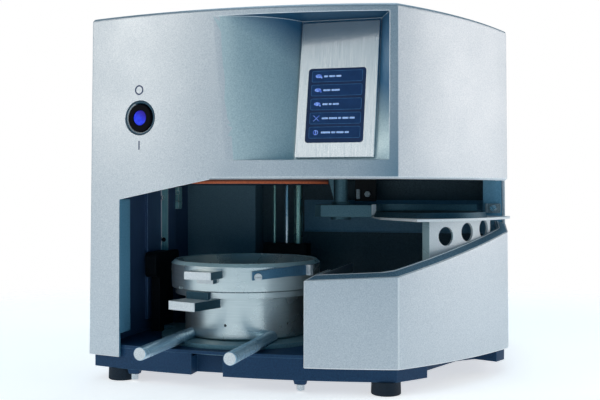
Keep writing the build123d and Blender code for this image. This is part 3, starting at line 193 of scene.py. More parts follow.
# Values that all finishes share, and what a finish has where it says nothing else
shared = {
    "edgeSamples": 6,
    # The edge tone below is a painted highlight along the edges
    "edgeFrom": 0.995,  # cosines of the turn away from the face where the edge tone starts and is full
    "edgeFull": 0.88,
    "sheenMm": 60,  # size of the broad patches of another sheen
    "sheenDetail": 3.0,
    "sheenSpread": (0.3, 0.7),
    "grainDetail": 2.0,
    "grainRoughness": 0.6,
}
plainFinish = {
    "stretch": (1, 1, 1),
    "spread": (0.35, 0.65),  # part of the grain over which the dark tone turns to the light one
    "roughSpread": 0.05,
    "metallic": 0.0,
    "anisotropic": 0.0,
    "specular": 0.5,
    "relief": 0.02,
    "reliefMm": 0.05,
    "edgeMm": 0.6,
    "glow": 0.0,
}
# Colour sockets of a Mix node, whose names are the same for every kind of value
mixSockets = {"first": 6, "second": 7, "result": 2}


def objectPoint(tree, stretch):
    # Object coordinates, stretched so that a pattern is drawn out along an axis
    place = addNode(tree, "ShaderNodeTexCoord")
    return addNode(
        tree, "ShaderNodeMapping", values={"Scale": stretch}, links={"Vector": place.outputs["Object"]}
    ).outputs["Vector"]


def grain(tree, sizeMm, stretch, detail):
    # Noise whose cells are about sizeMm across
    return addNode(
        tree, "ShaderNodeTexNoise",
        values={"Scale": 1 / (sizeMm * mm), "Detail": detail, "Roughness": shared["grainRoughness"]},
        links={"Vector": objectPoint(tree, stretch)},
    ).outputs["Fac"]


def ramp(tree, factor, stops):
    # Colour ramp from two stops, each a place and a linear colour
    node = addNode(tree, "ShaderNodeValToRGB", links={"Fac": factor})
    for element, (position, colour) in zip(node.color_ramp.elements, stops):
        element.position = position
        element.color = colour
    return node.outputs["Color"]


def mixTone(tree, share, first, secondHex):
    mixed = addNode(
        tree, "ShaderNodeMix", settings={"data_type": "RGBA"},
        values={mixSockets["second"]: linearColour(secondHex)},
        links={"Factor": share, mixSockets["first"]: first},
    )
    return mixed.outputs[mixSockets["result"]]


def paintedEdgeHighlight(tree, tone, rounded, edgeHighlightHex):
    # Painted highlight along the edges: a lighter tone where the rounded normal leaves the face's own
    surface = addNode(tree, "ShaderNodeNewGeometry")
    facing = addNode(
        tree, "ShaderNodeVectorMath", settings={"operation": "DOT_PRODUCT"},
        links={0: rounded, 1: surface.outputs["Normal"]},
    )
    share = addNode(
        tree, "ShaderNodeMapRange", values={"From Min": shared["edgeFrom"], "From Max": shared["edgeFull"]},
        links={"Value": facing.outputs["Value"]},
    )
    return mixTone(tree, share.outputs["Result"], tone, edgeHighlightHex)


def sweep(tree, tone, axis, fromMm, toMm, hexCode):
    # Change to another tone along an axis of the object, between two distances from its origin
    along = addNode(
        tree, "ShaderNodeVectorMath", settings={"operation": "DOT_PRODUCT"},
        values={1: axis}, links={0: objectPoint(tree, plainFinish["stretch"])},
    )
    share = addNode(
        tree, "ShaderNodeMapRange", values={"From Min": fromMm * mm, "From Max": toMm * mm},
        links={"Value": along.outputs["Value"]},
    )
    return mixTone(tree, share.outputs["Result"], tone, hexCode)


def finish(name, given):
    # One finish: two close tones over a grain, rounded edges with a painted highlight where one is given, a
    # broad change of sheen, and relief
    spec = {**plainFinish, **given}
    material = bpy.data.materials.new(name)
    material.use_nodes = True
    tree = material.node_tree
    shader = tree.nodes["Principled BSDF"]
    fine = grain(tree, spec["grainMm"], spec["stretch"], shared["grainDetail"])
    darkEnd, lightStart = spec["spread"]
    tone = ramp(
        tree, fine, [(darkEnd, linearColour(spec["dark"])), (lightStart, linearColour(spec["light"]))]
    )
    rounded = addNode(
        tree, "ShaderNodeBevel", settings={"samples": shared["edgeSamples"]},
        values={"Radius": spec["edgeMm"] * mm},
    ).outputs["Normal"]
    if "sweep" in spec:
        tone = sweep(tree, tone, **spec["sweep"])
    # Painted highlight on the rounded edges
    if "edgeHighlightHex" in spec:
        tone = paintedEdgeHighlight(tree, tone, rounded, spec["edgeHighlightHex"])
    tree.links.new(tone, shader.inputs["Base Color"])
    broad = grain(tree, shared["sheenMm"], plainFinish["stretch"], shared["sheenDetail"])
    smoothest, roughest = spec["roughness"] - spec["roughSpread"], spec["roughness"] + spec["roughSpread"]
    sheen = ramp(
        tree, broad,
        [(place, (value, value, value, 1))
         for place, value in zip(shared["sheenSpread"], (smoothest, roughest))],
    )
    tree.links.new(sheen, shader.inputs["Roughness"])
    shader.inputs["Metallic"].default_value = spec["metallic"]
    shader.inputs["Anisotropic"].default_value = spec["anisotropic"]
    shader.inputs["Specular IOR Level"].default_value = spec["specular"]
    raised = addNode(
        tree, "ShaderNodeBump", values={"Strength": spec["relief"], "Distance": spec["reliefMm"] * mm},
        links={"Height": fine, "Normal": rounded},
    )
    tree.links.new(raised.outputs["Normal"], shader.inputs["Normal"])
    if spec["glow"]:
        tree.links.new(tone, shader.inputs["Emission Color"])
        shader.inputs["Emission Strength"].default_value = spec["glow"]
    return material


# Flakes, pebbles, rings and brush lines are finer on the real surfaces, and are drawn here as coarse
# as they need to be to show
finishes = {
    # Silver metallic lacquer sprayed on sheet: flakes that sparkle, bright only towards the light
    "silverMetallicLacquer": {
        "dark": "#b6c0c8", "light": "#cdd4d9", "grainMm": 1.1, "spread": (0.34, 0.66), "metallic": 0.8,
        "roughness": 0.41, "relief": 0.05, "reliefMm": 0.12, "edgeMm": 1.4, "edgeHighlightHex": "#eef3f5",
    },
    # The same lacquer in the display recess, painted greener as shade, with a painted deep blue shadow in
    # its upper right corner
    "recessPaintedShadeLacquer": {
        "dark": "#a6bec5", "light": "#c0d3d7", "grainMm": 1.2, "spread": (0.34, 0.66), "metallic": 0.5,
        "roughness": 0.42, "relief": 0.06, "reliefMm": 0.12, "edgeMm": 1.4, "edgeHighlightHex": "#d5dfe3",
        "sweep": {"axis": (0.55, 0, 0.835), "fromMm": 262, "toMm": 292, "hexCode": "#44789c"},
    },
    # Ceiling of the recess, which sees hardly any light: deep blue
    "shadedLacquer": {
        "dark": "#17405c", "light": "#245472", "grainMm": 1.2, "metallic": 0.2, "roughness": 0.45,
        "relief": 0.06, "reliefMm": 0.12, "specular": 0.2, "edgeMm": 1.4, "edgeHighlightHex": "#6f93a8",
    },
    # Lacquer of the rim, which faces up: the silver lacquer painted as shade in a steel blue, with the same
    # sparkle
    "rimPaintedShadeLacquer": {
        "dark": "#4a6b80", "light": "#6c90a4", "grainMm": 1.1, "spread": (0.36, 0.64), "metallic": 0.3,
        "roughness": 0.45, "relief": 0.1, "reliefMm": 0.12, "edgeMm": 1.2, "edgeHighlightHex": "#dfe6ea",
    },
    # Rounded edges of the lower right cover, painted as a highlight where the lacquer shines brightest
    "edgeHighlightLacquer": {
        "dark": "#dfe6ea", "light": "#f0f4f6", "grainMm": 1.2, "metallic": 0.1, "roughness": 0.4,
    },
    # Blue-black textured powder coat on the base, with a pebbled skin
    "navyPowderCoat": {
        "dark": "#0c3252", "light": "#184164", "grainMm": 1.1, "roughness": 0.55, "specular": 0.25,
        "relief": 0.3, "reliefMm": 0.2, "edgeMm": 0.8, "edgeHighlightHex": "#3d6484",
    },
    # Matt black coated sheet inside the bay, which takes hardly any light
    "blackCoatedSheet": {
        "dark": "#0a0e12", "light": "#141b21", "grainMm": 1.4, "roughness": 0.55, "relief": 0.2,
        "reliefMm": 0.2, "specular": 0.2, "edgeHighlightHex": "#24313a",
    },
    # Stainless sheet brushed in one direction, bright with long streaks
    "brushedStainlessSheet": {
        "dark": "#c6d0d4", "light": "#dce2e4", "grainMm": 0.5, "stretch": (1, 0.02, 0.02), "metallic": 0.8,
        "roughness": 0.26, "roughSpread": 0.01, "relief": 0.0, "reliefMm": 0.03,
    },
    # Stainless grip sheet with a bead-blasted satin face
    "satinStainlessSheet": {
        "dark": "#cdd5d9", "light": "#e4e9eb", "grainMm": 0.6, "metallic": 0.2, "roughness": 0.5,
        "relief": 0.08, "reliefMm": 0.05, "edgeMm": 0.5, "edgeHighlightHex": "#dfe6e8",
    },
    # Galvanised sheet of the small bracket and the sensor box, dull grey
    "galvanisedSheet": {
        "dark": "#7c8d95", "light": "#9dacb3", "grainMm": 1.2, "metallic": 0.4, "roughness": 0.5,
        "edgeHighlightHex": "#b9c6cb",
    },
    # Aluminium turned on a lathe, with fine rings round its axis
    "turnedAluminium": {
        "dark": "#bfccce", "light": "#c9d4d6", "grainMm": 0.6, "stretch": (0.02, 0.02, 1), "metallic": 0.9,
        "roughness": 0.28, "anisotropic": 0.3, "relief": 0.006, "reliefMm": 0.03, "edgeHighlightHex": "#e2e9ec",
    },
    # Milled lugs of the pot, the heater pan and the arm's underside, painted dark as shade
    "paintedShadeAluminium": {
        "dark": "#20404f", "light": "#2f5666", "grainMm": 0.8, "metallic": 0.6, "roughness": 0.4,
        "edgeHighlightHex": "#6f8f9c",
    },
    # Upper faces of the clamp ring and the grip plate's near edge, satin, with a painted teal reflection
    "tealReflectionAluminium": {
        "dark": "#aed3dc", "light": "#c6e3e8", "grainMm": 0.6, "metallic": 0.35, "roughness": 0.3,
        "edgeMm": 0.8, "edgeHighlightHex": "#d8e4e8",
    },
    # Blued spring steel of the lever
    "blueLeverSteel": {
        "dark": "#38617c", "light": "#4a7894", "grainMm": 0.9, "metallic": 0.4, "roughness": 0.35,
        "edgeHighlightHex": "#86a9c4",
    },
    # Black oxide of the bolts
    "blackOxideSteel": {
        "dark": "#0b0e10", "light": "#171c20", "grainMm": 0.6, "metallic": 0.4, "roughness": 0.4,
        "edgeMm": 0.3, "edgeHighlightHex": "#5a666c",
    },
    # Nickel-plated steel of small screws and the rods' cut ends, bright from every side; the same tone is
    # painted as a highlight on the lugs, the lever's tab, the arm's cut edges and the switch's ring
    "nickelAndPaintedGlint": {
        "dark": "#c4ccd0", "light": "#e6eaec", "grainMm": 0.6, "metallic": 0.3, "roughness": 0.3,
    },
    # Ground and polished steel of rods, pins and screws
    "polishedSteel": {
        "dark": "#a8b4bb", "light": "#d2d9dd", "grainMm": 0.5, "metallic": 1.0, "roughness": 0.14,
        "roughSpread": 0.04,
    },
    # Guide columns with a film of oil, greenish
    "oiledSteelColumn": {
        "dark": "#6f948c", "light": "#9dbdb3", "grainMm": 0.8, "stretch": (1, 1, 0.03), "metallic": 0.9,
        "roughness": 0.25,
    },
    # Steel parts blued by heat and oil, which shine a dark blue-green; the same tone is painted as shade on
    # the top of the arm plate
    "bluedSteelAndPaintedShade": {
        "dark": "#55808f", "light": "#6c98a6", "grainMm": 1.2, "metallic": 0.35, "roughness": 0.42,
        "relief": 0.06, "reliefMm": 0.1, "edgeHighlightHex": "#7f9caa",
    },
    # Rail and sensor with a teal-grey anodised skin, and a painted highlight line down the rail's left edge
    "anodisedTealAluminium": {
        "dark": "#7cb8c0", "light": "#98cdd2", "grainMm": 0.7, "stretch": (1, 1, 0.03), "metallic": 0.2,
        "roughness": 0.4, "relief": 0.05, "reliefMm": 0.05, "edgeMm": 0.8, "edgeHighlightHex": "#eef5f5",
        "sweep": {"axis": (-1, 0, 0), "fromMm": 177.8, "toMm": 178.0, "hexCode": "#f6fafa"},
    },
    # Slate anodised skin of the rail, the left wall and the floor of the park bay
    "anodisedSlateAluminium": {
        "dark": "#3a557c", "light": "#47668f", "grainMm": 0.7, "stretch": (1, 1, 0.03), "metallic": 0.2,
        "roughness": 0.45, "edgeMm": 0.8, "edgeHighlightHex": "#86aad0",
    },
    # Dark blue painted sheet inside the bay; the same blue is painted as shade on the housing's inner leg
    # face and inside the lower right cover
    "bayBlueSheetAndPaintedShade": {
        "dark": "#5f9ab8", "light": "#70a9c6", "grainMm": 1.4, "roughness": 0.45, "relief": 0.15,
        "reliefMm": 0.15, "edgeHighlightHex": "#7fa8bf",
    },
    # Slate painted sheet at the back of the bay
    "baySlateSheet": {
        "dark": "#64899b", "light": "#739bad", "grainMm": 1.4, "roughness": 0.5, "relief": 0.15,
        "reliefMm": 0.15,
    },
    # The same sheet behind the columns, darker in the shade
    "bayShadeSheet": {
        "dark": "#3c5561", "light": "#4a6672", "grainMm": 1.4, "roughness": 0.5, "relief": 0.15,
        "reliefMm": 0.15, "specular": 0.3,
    },
    # Bright drawn steel of the handle rods, with a painted blue reflection
    "drawnSteelBlueReflection": {
        "dark": "#93bad0", "light": "#b4d4e6", "grainMm": 0.8, "stretch": (1, 0.05, 1), "metallic": 0.45,
        "roughness": 0.27, "relief": 0.05, "reliefMm": 0.08,
    },
    # Moulded silicone rubber seal, orange, dusted with age, with painted shade on its upper part
    "orangeSilicone": {
        "dark": "#b4552f", "light": "#d0683a", "grainMm": 2.0, "roughness": 0.62, "relief": 0.1,
        "reliefMm": 0.15,
        # Painted shade on the seal's upper part
        "sweep": {"axis": (0, 0, 1), "fromMm": 196.6, "toMm": 197.8, "hexCode": "#5c2c1e"},
    },
    # Moulded black rubber feet; the same black is painted as shade on the seal's underside
    "blackRubberAndPaintedShade": {
        "dark": "#0a1a26", "light": "#142838", "grainMm": 0.8, "roughness": 0.7, "relief": 0.25,
        "reliefMm": 0.15, "edgeMm": 1.0, "specular": 0.3,
    },
    # Moulded black ABS with a spark-eroded texture
    "blackAbs": {
        "dark": "#04050a", "light": "#090b12", "grainMm": 0.5, "roughness": 0.5, "relief": 0.1,
        "reliefMm": 0.05, "specular": 0.06,
    },
    # Moulded blue-green ABS of the switch's ring
    "tealAbs": {
        "dark": "#1e4254", "light": "#2a5468", "grainMm": 0.6, "roughness": 0.3, "relief": 0.06,
        "reliefMm": 0.05, "specular": 0.3,
    },
    # Clear blue polycarbonate lens, lit from inside and violet towards its upper right
    "blueLitLens": {
        "dark": "#2434d8", "light": "#3048e6", "grainMm": 3.0, "roughness": 0.3, "specular": 0.1,
        "sweep": {"axis": (0.6, 0, 0.8), "fromMm": 121, "toMm": 127, "hexCode": "#2a1f9c"}, "glow": 0.3,
    },
    # Coated glass over a dark display
    "displayGlass": {
        "dark": "#10233f", "light": "#152a4a", "grainMm": 30.0, "roughness": 0.2, "roughSpread": 0.02,
        "specular": 0.1, "glow": 0.4,
    },
    # Pressed white ceramic of the heating element, a little browned
    "browningCeramic": {
        "dark": "#a39a8c", "light": "#cbc4b8", "grainMm": 3.0, "roughness": 0.6, "relief": 0.2,
        "reliefMm": 0.2,
    },
    # Printed ink of the power symbols
    "navyInk": {"dark": "#0c2a54", "light": "#143a6a", "grainMm": 0.4, "roughness": 0.5},
    # Lit picture elements of the menu: frame lines, fields, bars and icons
    "menuLine": {
        "dark": "#2c5078", "light": "#35608c", "grainMm": 4.0, "roughness": 0.4,
        "specular": 0.1, "glow": 0.5,
    },
    "menuField": {
        "dark": "#153054", "light": "#18355c", "grainMm": 8.0, "roughness": 0.4,
        "specular": 0.1, "glow": 0.3,
    },
    "menuSign": {
        "dark": "#7f9fd0", "light": "#a9c4ee", "grainMm": 1.5, "roughness": 0.4,
        "specular": 0.1, "glow": 0.35,
    },
    "menuIcon": {
        "dark": "#3f5fc0", "light": "#8fb0f0", "grainMm": 2.0, "roughness": 0.4,
        "specular": 0.1, "glow": 0.35,
    },
}
# The cover's lacquer where the front turns its right corner, with painted shade that turns it bluer
# downwards
finishes["cornerPaintedShadeLacquer"] = {
    **finishes["silverMetallicLacquer"],
    "sweep": {"axis": (0.9, 0, -0.43), "fromMm": -30, "toMm": 20, "hexCode": "#7596a9"},
}
made = {name: finish(name, spec) for name, spec in finishes.items()}
print("stage: finishes made:", len(made))

# Finishes of the CAD nodes
wears = {
    "silverMetallicLacquer": ["upper_housing", "block_cover"],
    "navyPowderCoat": ["base_tray", "base_deck", "leveller_bosses", "rear_panel"],
    "bayBlueSheetAndPaintedShade": ["column_liner"],
    "baySlateSheet": ["bay_side_panel"],
    "bayShadeSheet": ["bay_rear_wall"],
    "blueLeverSteel": ["lock_lever"],
    "drawnSteelBlueReflection": ["handle_rods"],
    "blackCoatedSheet": [
        "bay_ceiling", "chamber_frame", "chamber_yoke", "plate_spacers",
        "bush_block", "side_carriage", "power_supply",
    ],
    "brushedStainlessSheet": ["display_plate"],
    "galvanisedSheet": ["stop_bracket", "home_sensor"],
    "satinStainlessSheet": ["handle_plate", "arm_plate"],
    "turnedAluminium": [
        "model_pot", "clamp_ring", "foil_ring", "pressure_chamber", "lift_cylinder", "air_tank",
    ],
    "anodisedTealAluminium": ["lift_sensor"],
    "anodisedSlateAluminium": ["side_rail", "block_liner", "bay_left_wall"],
    "oiledSteelColumn": ["guide_columns"],
    "polishedSteel": [
        "lift_rod", "leveller_pins", "stop_screw", "air_coupling", "heater_guard",
    ],
    "nickelAndPaintedGlint": ["lever_screw"],
    "bluedSteelAndPaintedShade": ["arm_hub", "lift_platform", "pivot_post", "post_bearing"],
    "paintedShadeAluminium": ["heater_pan"],
    "orangeSilicone": ["chamber_gasket"],
    "blackRubberAndPaintedShade": ["front_left_foot", "front_right_foot", "rear_left_foot", "rear_right_foot"],
    "blackAbs": ["power_button", "switch_block", "mains_inlet", "vent_fan"],
    "tealAbs": ["switch_bezel"],
    "blueLitLens": ["button_lens"],
    "displayGlass": ["touch_screen"],
    "browningCeramic": ["heater_element"],
}
for finishName, wearers in wears.items():
    for nodeName in wearers:
        slots = nodes[nodeName].data.materials
        slots.clear()
        slots.append(made[finishName])


# Forms of the CAD that the painted faces are found by
potMiddle = Vector((-65.8, -47.8)) * mm
front = {
    "radius": 650 * mm,
    "apex": (-45.5 * mm, -153.8 * mm),
    "low": 24.8 * mm,
    "draft": 0.6,  # degrees by which the cover draws in upwards
}
frontMiddle = Vector((front["apex"][0], front["apex"][1] + front["radius"]))
switch = {
    "axis": Vector((96.0, 643.9, -6.8)).normalized(),
    "middle": Vector((-141.5, -139.9, 258.8)) * mm,
    "brightSide": Vector((-0.8, 0, -0.6)),
}


def frontRadius(z):
    # Radius of the cover's curved front at a height
    return front["radius"] - (z - front["low"]) * math.tan(math.radians(front["draft"]))


def fromSwitchAxis(c):
    reach = c - switch["middle"]
    return (reach - switch["axis"] * reach.dot(switch["axis"])).length


# What a region is bounded by, from a face's centre c and normal n: distances in mm, shares without unit
measures = {
    "x": lambda c, n: c.x / mm,
    "y": lambda c, n: c.y / mm,
    "z": lambda c, n: c.z / mm,
    "facingX": lambda c, n: n.x,
    "facingY": lambda c, n: n.y,
    "facingZ": lambda c, n: n.z,
    "fromPot": lambda c, n: (c.xy - potMiddle).length / mm,
    "behindFront": lambda c, n: (frontRadius(c.z) - (c.xy - frontMiddle).length) / mm,
    "facingSwitchAxis": lambda c, n: abs(n.dot(switch["axis"])),
    "fromSwitchAxis": lambda c, n: fromSwitchAxis(c) / mm,
    "towardsBrightSide": lambda c, n: (c - switch["middle"]).dot(switch["brightSide"]) / mm,
}


def paintFaces(nodeName, finishName, **limits):
    # Second finish on the faces of a node whose measures all lie between their limits
    mesh = nodes[nodeName].data
    if finishName not in mesh.materials:
        mesh.materials.append(made[finishName])
    index = mesh.materials.find(finishName)
    for face in mesh.polygons:
        place, normal = face.center, face.normal
        if all(low < measures[name](place, normal) < high for name, (low, high) in limits.items()):
            face.material_index = index


# Front of the cover towards its right corner, in painted shade
paintFaces("upper_housing", "cornerPaintedShadeLacquer", x=(40, inf), y=(-inf, -90), facingY=(-inf, -0.93))
# Display recess and its ceiling, both in painted shade
recess = {"x": (-62, 107), "behindFront": (0.3, inf)}
paintFaces("upper_housing", "recessPaintedShadeLacquer", **recess, y=(-inf, -95), z=(214, 352), facingY=(-inf, 0.3))
paintFaces("upper_housing", "shadedLacquer", **recess, y=(-inf, -60), z=(300, 356), facingZ=(-inf, -0.35))
# Work bay's left side, and the inside and rim of the lower right cover, all in painted shade
paintFaces("upper_housing", "bayBlueSheetAndPaintedShade", x=(-169, -164.5), z=(-inf, 183), facingX=(0.9, inf))
paintFaces(
    "block_cover", "bayBlueSheetAndPaintedShade",
    y=(-inf, 45), facingX=(-inf, 0.5), facingY=(0.2, inf), facingZ=(-inf, 0.3),
)
paintFaces("block_cover", "rimPaintedShadeLacquer", z=(104, inf), facingZ=(0.4, inf))
# Heater arm: painted shade on its top and underside, painted teal reflection on the grip plate's near edge,
# and painted highlight on its cut edges
paintFaces("arm_plate", "bluedSteelAndPaintedShade", z=(161.2, inf), facingX=(-0.5, inf))
paintFaces("arm_plate", "paintedShadeAluminium", facingZ=(-inf, -0.5))
paintFaces("handle_plate", "tealReflectionAluminium", facingX=(-inf, -0.6))
paintFaces("arm_plate", "nickelAndPaintedGlint", x=(-inf, 59), z=(161.2, inf), facingY=(-inf, -0.9))
# Small parts
paintFaces("home_sensor", "blackCoatedSheet", y=(65.89, inf))
paintFaces("handle_rods", "nickelAndPaintedGlint", facingY=(-inf, -0.9))
# Painted highlight on the lever's bent tab
paintFaces("lock_lever", "nickelAndPaintedGlint", fromPot=(81.8, inf))
paintFaces("side_rail", "anodisedTealAluminium", y=(-13, inf), facingY=(-inf, -0.9))
# Painted shade on the seal's underside
paintFaces("chamber_gasket", "blackRubberAndPaintedShade", facingZ=(-inf, -0.4))
# Clamp ring: painted teal reflection on its top and on the inside of its bore
paintFaces("clamp_ring", "tealReflectionAluminium", z=(112, inf), facingZ=(0.2, inf))
paintFaces("clamp_ring", "tealReflectionAluminium", z=(112, inf), fromPot=(-inf, 74))
# Lugs of the bayonet: painted shade below and on the right, painted highlight in front
lugs = {
    "clamp_ring": {"fromPot": (79.5, inf), "z": (-inf, 110)},
    "model_pot": {"fromPot": (74.5, inf), "z": (66, inf)},
}
for nodeName, region in lugs.items():
    paintFaces(nodeName, "paintedShadeAluminium", **region, facingZ=(-inf, -0.5))
    paintFaces(nodeName, "paintedShadeAluminium", **region, facingX=(0.5, inf))
    paintFaces(nodeName, "nickelAndPaintedGlint", **region, facingY=(-inf, -0.6))
# Painted shade on the pot's riser under the lug, and a painted highlight on the lug's top
paintFaces("model_pot", "paintedShadeAluminium", fromPot=(74.5, inf), z=(81, 88.5))
paintFaces("model_pot", "nickelAndPaintedGlint", fromPot=(79.5, inf), z=(66, 81.5), facingZ=(0.5, inf))
# Painted highlight on the switch's ring
paintFaces(
    "switch_bezel", "nickelAndPaintedGlint",
    facingSwitchAxis=(0.2, 0.9), fromSwitchAxis=(-inf, 15.4), towardsBrightSide=(-4, inf),
)
print("stage: nodes dressed")

# Real rounding on two pieces, in mm and degrees. On the cover it crosses itself at a few corners.
# The other edges are rounded by their finishes
softening = {"weld": 0.01, "segments": 3, "faceWeight": 80}
edgeSoftness = {
    "block_cover": {"width": 0.9, "clamped": False, "angle": 22, "edge": "edgeHighlightLacquer"},
    "arm_hub": {"width": 0.7, "clamped": True, "angle": 38, "edge": "bluedSteelAndPaintedShade"},
}
for nodeName, spec in edgeSoftness.items():
    slots = nodes[nodeName].data.materials
    slots.append(made[spec["edge"]])
    weld = nodes[nodeName].modifiers.new("weldCorners", "WELD")
    weld.merge_threshold = softening["weld"] * mm
    soften = nodes[nodeName].modifiers.new("softEdges", "BEVEL")
    soften.width = spec["width"] * mm
    soften.segments = softening["segments"]
    soften.limit_method = "ANGLE"
    soften.angle_limit = math.radians(spec["angle"])
    soften.use_clamp_overlap = spec["clamped"]
    # The cover's rounding wears a painted highlight
    soften.material = len(slots) - 1
    # Large faces stay flat, the narrow rounding takes the turn
    even = nodes[nodeName].modifiers.new("evenNormals", "WEIGHTED_NORMAL")
    even.weight = softening["faceWeight"]
print("stage: edges softened")

# Menu on the display: five framed rows, each with a plain sign and broken bars in place of words
menu = {
    "centre": (49.0 * mm, 268.4 * mm),  # x and z
    "plateLow": (-136.7 * mm, 216.6 * mm),  # y and z of the plate's front at its lower edge
    "tilt": 13.0,
    "sunk": 0.5 * mm,
    "rows": 5,
    "rowWide": 49.0 * mm,
    "rowHigh": 11.2 * mm,
    "rowRound": 1.4 * mm,
    "pitch": 13.8 * mm,
    "lowestRow": -26.6 * mm,
    "line": 0.4 * mm,
    "thick": 0.16 * mm,
    "fieldTop": 0.4,  # heights as shares of thick
    "signLow": 0.5,
    "signTop": 1.2,
    "signLeft": 6.5 * mm,
    "barStart": 5.2 * mm,
    "barHigh": 1.8 * mm,
    "barRound": 0.6 * mm,
    "barGap": 0.9 * mm,
    "bars": ((9, 4, 7, 4), (6, 8, 3, 6, 5), (5, 3, 6), (7, 8), (4, 6, 5)),  # mm wide, row by row
}
# The plain signs: rounded bars are wide, high and corner radius
signs = {
    "blankRadius": 2.4 * mm,
    "blankSquash": (1.3, 0.75),  # a round blank seen at an angle
    "blankUp": 0.3 * mm,
    "tab": (1.3 * mm, 1.9 * mm, 0.5 * mm),
    "tabAt": (2.9 * mm, -1.2 * mm),
    "stroke": (0.9 * mm, 5.4 * mm, 0.2 * mm),
    "strokeStep": 0.1,  # one stroke lies this share lower, the other as much higher
    "ringOuter": 2.5 * mm,
    "ringInner": 1.7 * mm,
    "mark": (1.1 * mm, 3.4 * mm, 0.4 * mm),
}


def displayMatrix():
    # Plane of the screen: x to the right, y up along the leaning plate, z towards the viewer
    tilt = math.radians(menu["tilt"])
    z = menu["centre"][1]
    y = menu["plateLow"][0] + (z - menu["plateLow"][1]) * math.tan(tilt)
    normal = Vector((0, -math.cos(tilt), math.sin(tilt)))
    up = Vector((0, math.sin(tilt), math.cos(tilt)))
    right = Vector((1, 0, 0))
    turn = Matrix((right, up, normal)).transposed().to_4x4()
    return Matrix.Translation(Vector((menu["centre"][0], y, z)) - normal * menu["sunk"]) @ turn


def circleOutline(radius, steps=24):
    # Points on a circle about the middle, as many as steps
    angles = [2 * math.pi * step / steps for step in range(steps)]
    return [(radius * math.cos(angle), radius * math.sin(angle)) for angle in angles]


def roundedOutline(wide, high, radius, steps=4):
    # Rectangle about the middle with rounded corners of so many steps each
    points = []
    for cornerX, cornerY, start in ((1, 1, 0), (-1, 1, 90), (-1, -1, 180), (1, -1, 270)):
        for step in range(steps + 1):
            angle = math.radians(start + 90 * step / steps)
            points.append((
                cornerX * (wide / 2 - radius) + radius * math.cos(angle),
                cornerY * (high / 2 - radius) + radius * math.sin(angle),
            ))
    return points


def slab(mesh, outline, centre, low, high):
    # Closed plate with the outline, between two heights
    lower = [mesh.verts.new((centre[0] + x, centre[1] + y, low)) for x, y in outline]
    upper = [mesh.verts.new((centre[0] + x, centre[1] + y, high)) for x, y in outline]
    mesh.faces.new(list(reversed(lower)))
    mesh.faces.new(upper)
    for i in range(len(outline)):
        j = (i + 1) % len(outline)
        mesh.faces.new((lower[i], lower[j], upper[j], upper[i]))


def hollowSlab(mesh, outer, inner, centre, low, high):
    # Closed frame between an outer and an inner outline of as many points
    rings = []
    for outline, height in ((outer, low), (outer, high), (inner, high), (inner, low)):
        rings.append([mesh.verts.new((centre[0] + x, centre[1] + y, height)) for x, y in outline])
    for ring, nextRing in zip(rings, rings[1:] + rings[:1]):
        for i in range(len(outer)):
            j = (i + 1) % len(outer)
            mesh.faces.new((ring[i], ring[j], nextRing[j], nextRing[i]))


def meshPiece(name, mesh, matrix, finishName, body):
    # Turns a bmesh into a piece of its own, put in place inside its mesh
    data = bpy.data.meshes.new(name)
    mesh.transform(matrix)
    bmesh.ops.recalc_face_normals(mesh, faces=mesh.faces)
    mesh.to_mesh(data)
    mesh.free()
    data.materials.append(made[finishName])
    piece = newObject(name, data)
    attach(piece, body)


rowFrames = bmesh.new()
rowFields = bmesh.new()
rowSigns = bmesh.new()
rowIcons = bmesh.new()
line = menu["line"]
outside = roundedOutline(menu["rowWide"], menu["rowHigh"], menu["rowRound"])
inside = roundedOutline(
    menu["rowWide"] - 2 * line, menu["rowHigh"] - 2 * line, menu["rowRound"] - line
)
signX = menu["signLeft"] - menu["rowWide"] / 2
low, top = menu["thick"] * menu["signLow"], menu["thick"] * menu["signTop"]
for row in range(menu["rows"]):
    rowY = menu["lowestRow"] + row * menu["pitch"]
    hollowSlab(rowFrames, outside, inside, (0, rowY), 0, menu["thick"])
    slab(rowFields, inside, (0, rowY), 0, menu["thick"] * menu["fieldTop"])
    if row >= 2:
        # A foil blank with its tab
        wider, flatter = signs["blankSquash"]
        blank = [(x * wider, y * flatter) for x, y in circleOutline(signs["blankRadius"])]
        slab(rowIcons, blank, (signX, rowY + signs["blankUp"]), low, top)
        tabX, tabY = signs["tabAt"]
        slab(rowIcons, roundedOutline(*signs["tab"]), (signX + tabX, rowY + tabY), low, top)
    elif row == 1:
        # Two crossed strokes
        for lean in (-1, 1):
            stroke = [(x + lean * y, y) for x, y in roundedOutline(*signs["stroke"])]
            slab(rowIcons, stroke, (signX, rowY), low, top * (1 + signs["strokeStep"] * lean))
    else:
        # A mark in a ring
        ringOutlines = circleOutline(signs["ringOuter"]), circleOutline(signs["ringInner"])
        hollowSlab(rowIcons, *ringOutlines, (signX, rowY), low, top)
        slab(rowIcons, roundedOutline(*signs["mark"]), (signX, rowY), low, top)
    barLeft = signX + menu["barStart"]
    for bar in menu["bars"][row]:
        barWide = bar * mm
        barOutline = roundedOutline(barWide, menu["barHigh"], menu["barRound"])
        slab(rowSigns, barOutline, (barLeft + barWide / 2, rowY), low, top)
        barLeft += barWide + menu["barGap"]
screenFace = displayMatrix()
for name, mesh, finishName in (
    ("menuFrames", rowFrames, "menuLine"),
    ("menuFields", rowFields, "menuField"),
    ("menuIcons", rowIcons, "menuIcon"),
    ("menuSigns", rowSigns, "menuSign"),
):
    meshPiece(name, mesh, screenFace, finishName, "housing")
print("stage: menu drawn")

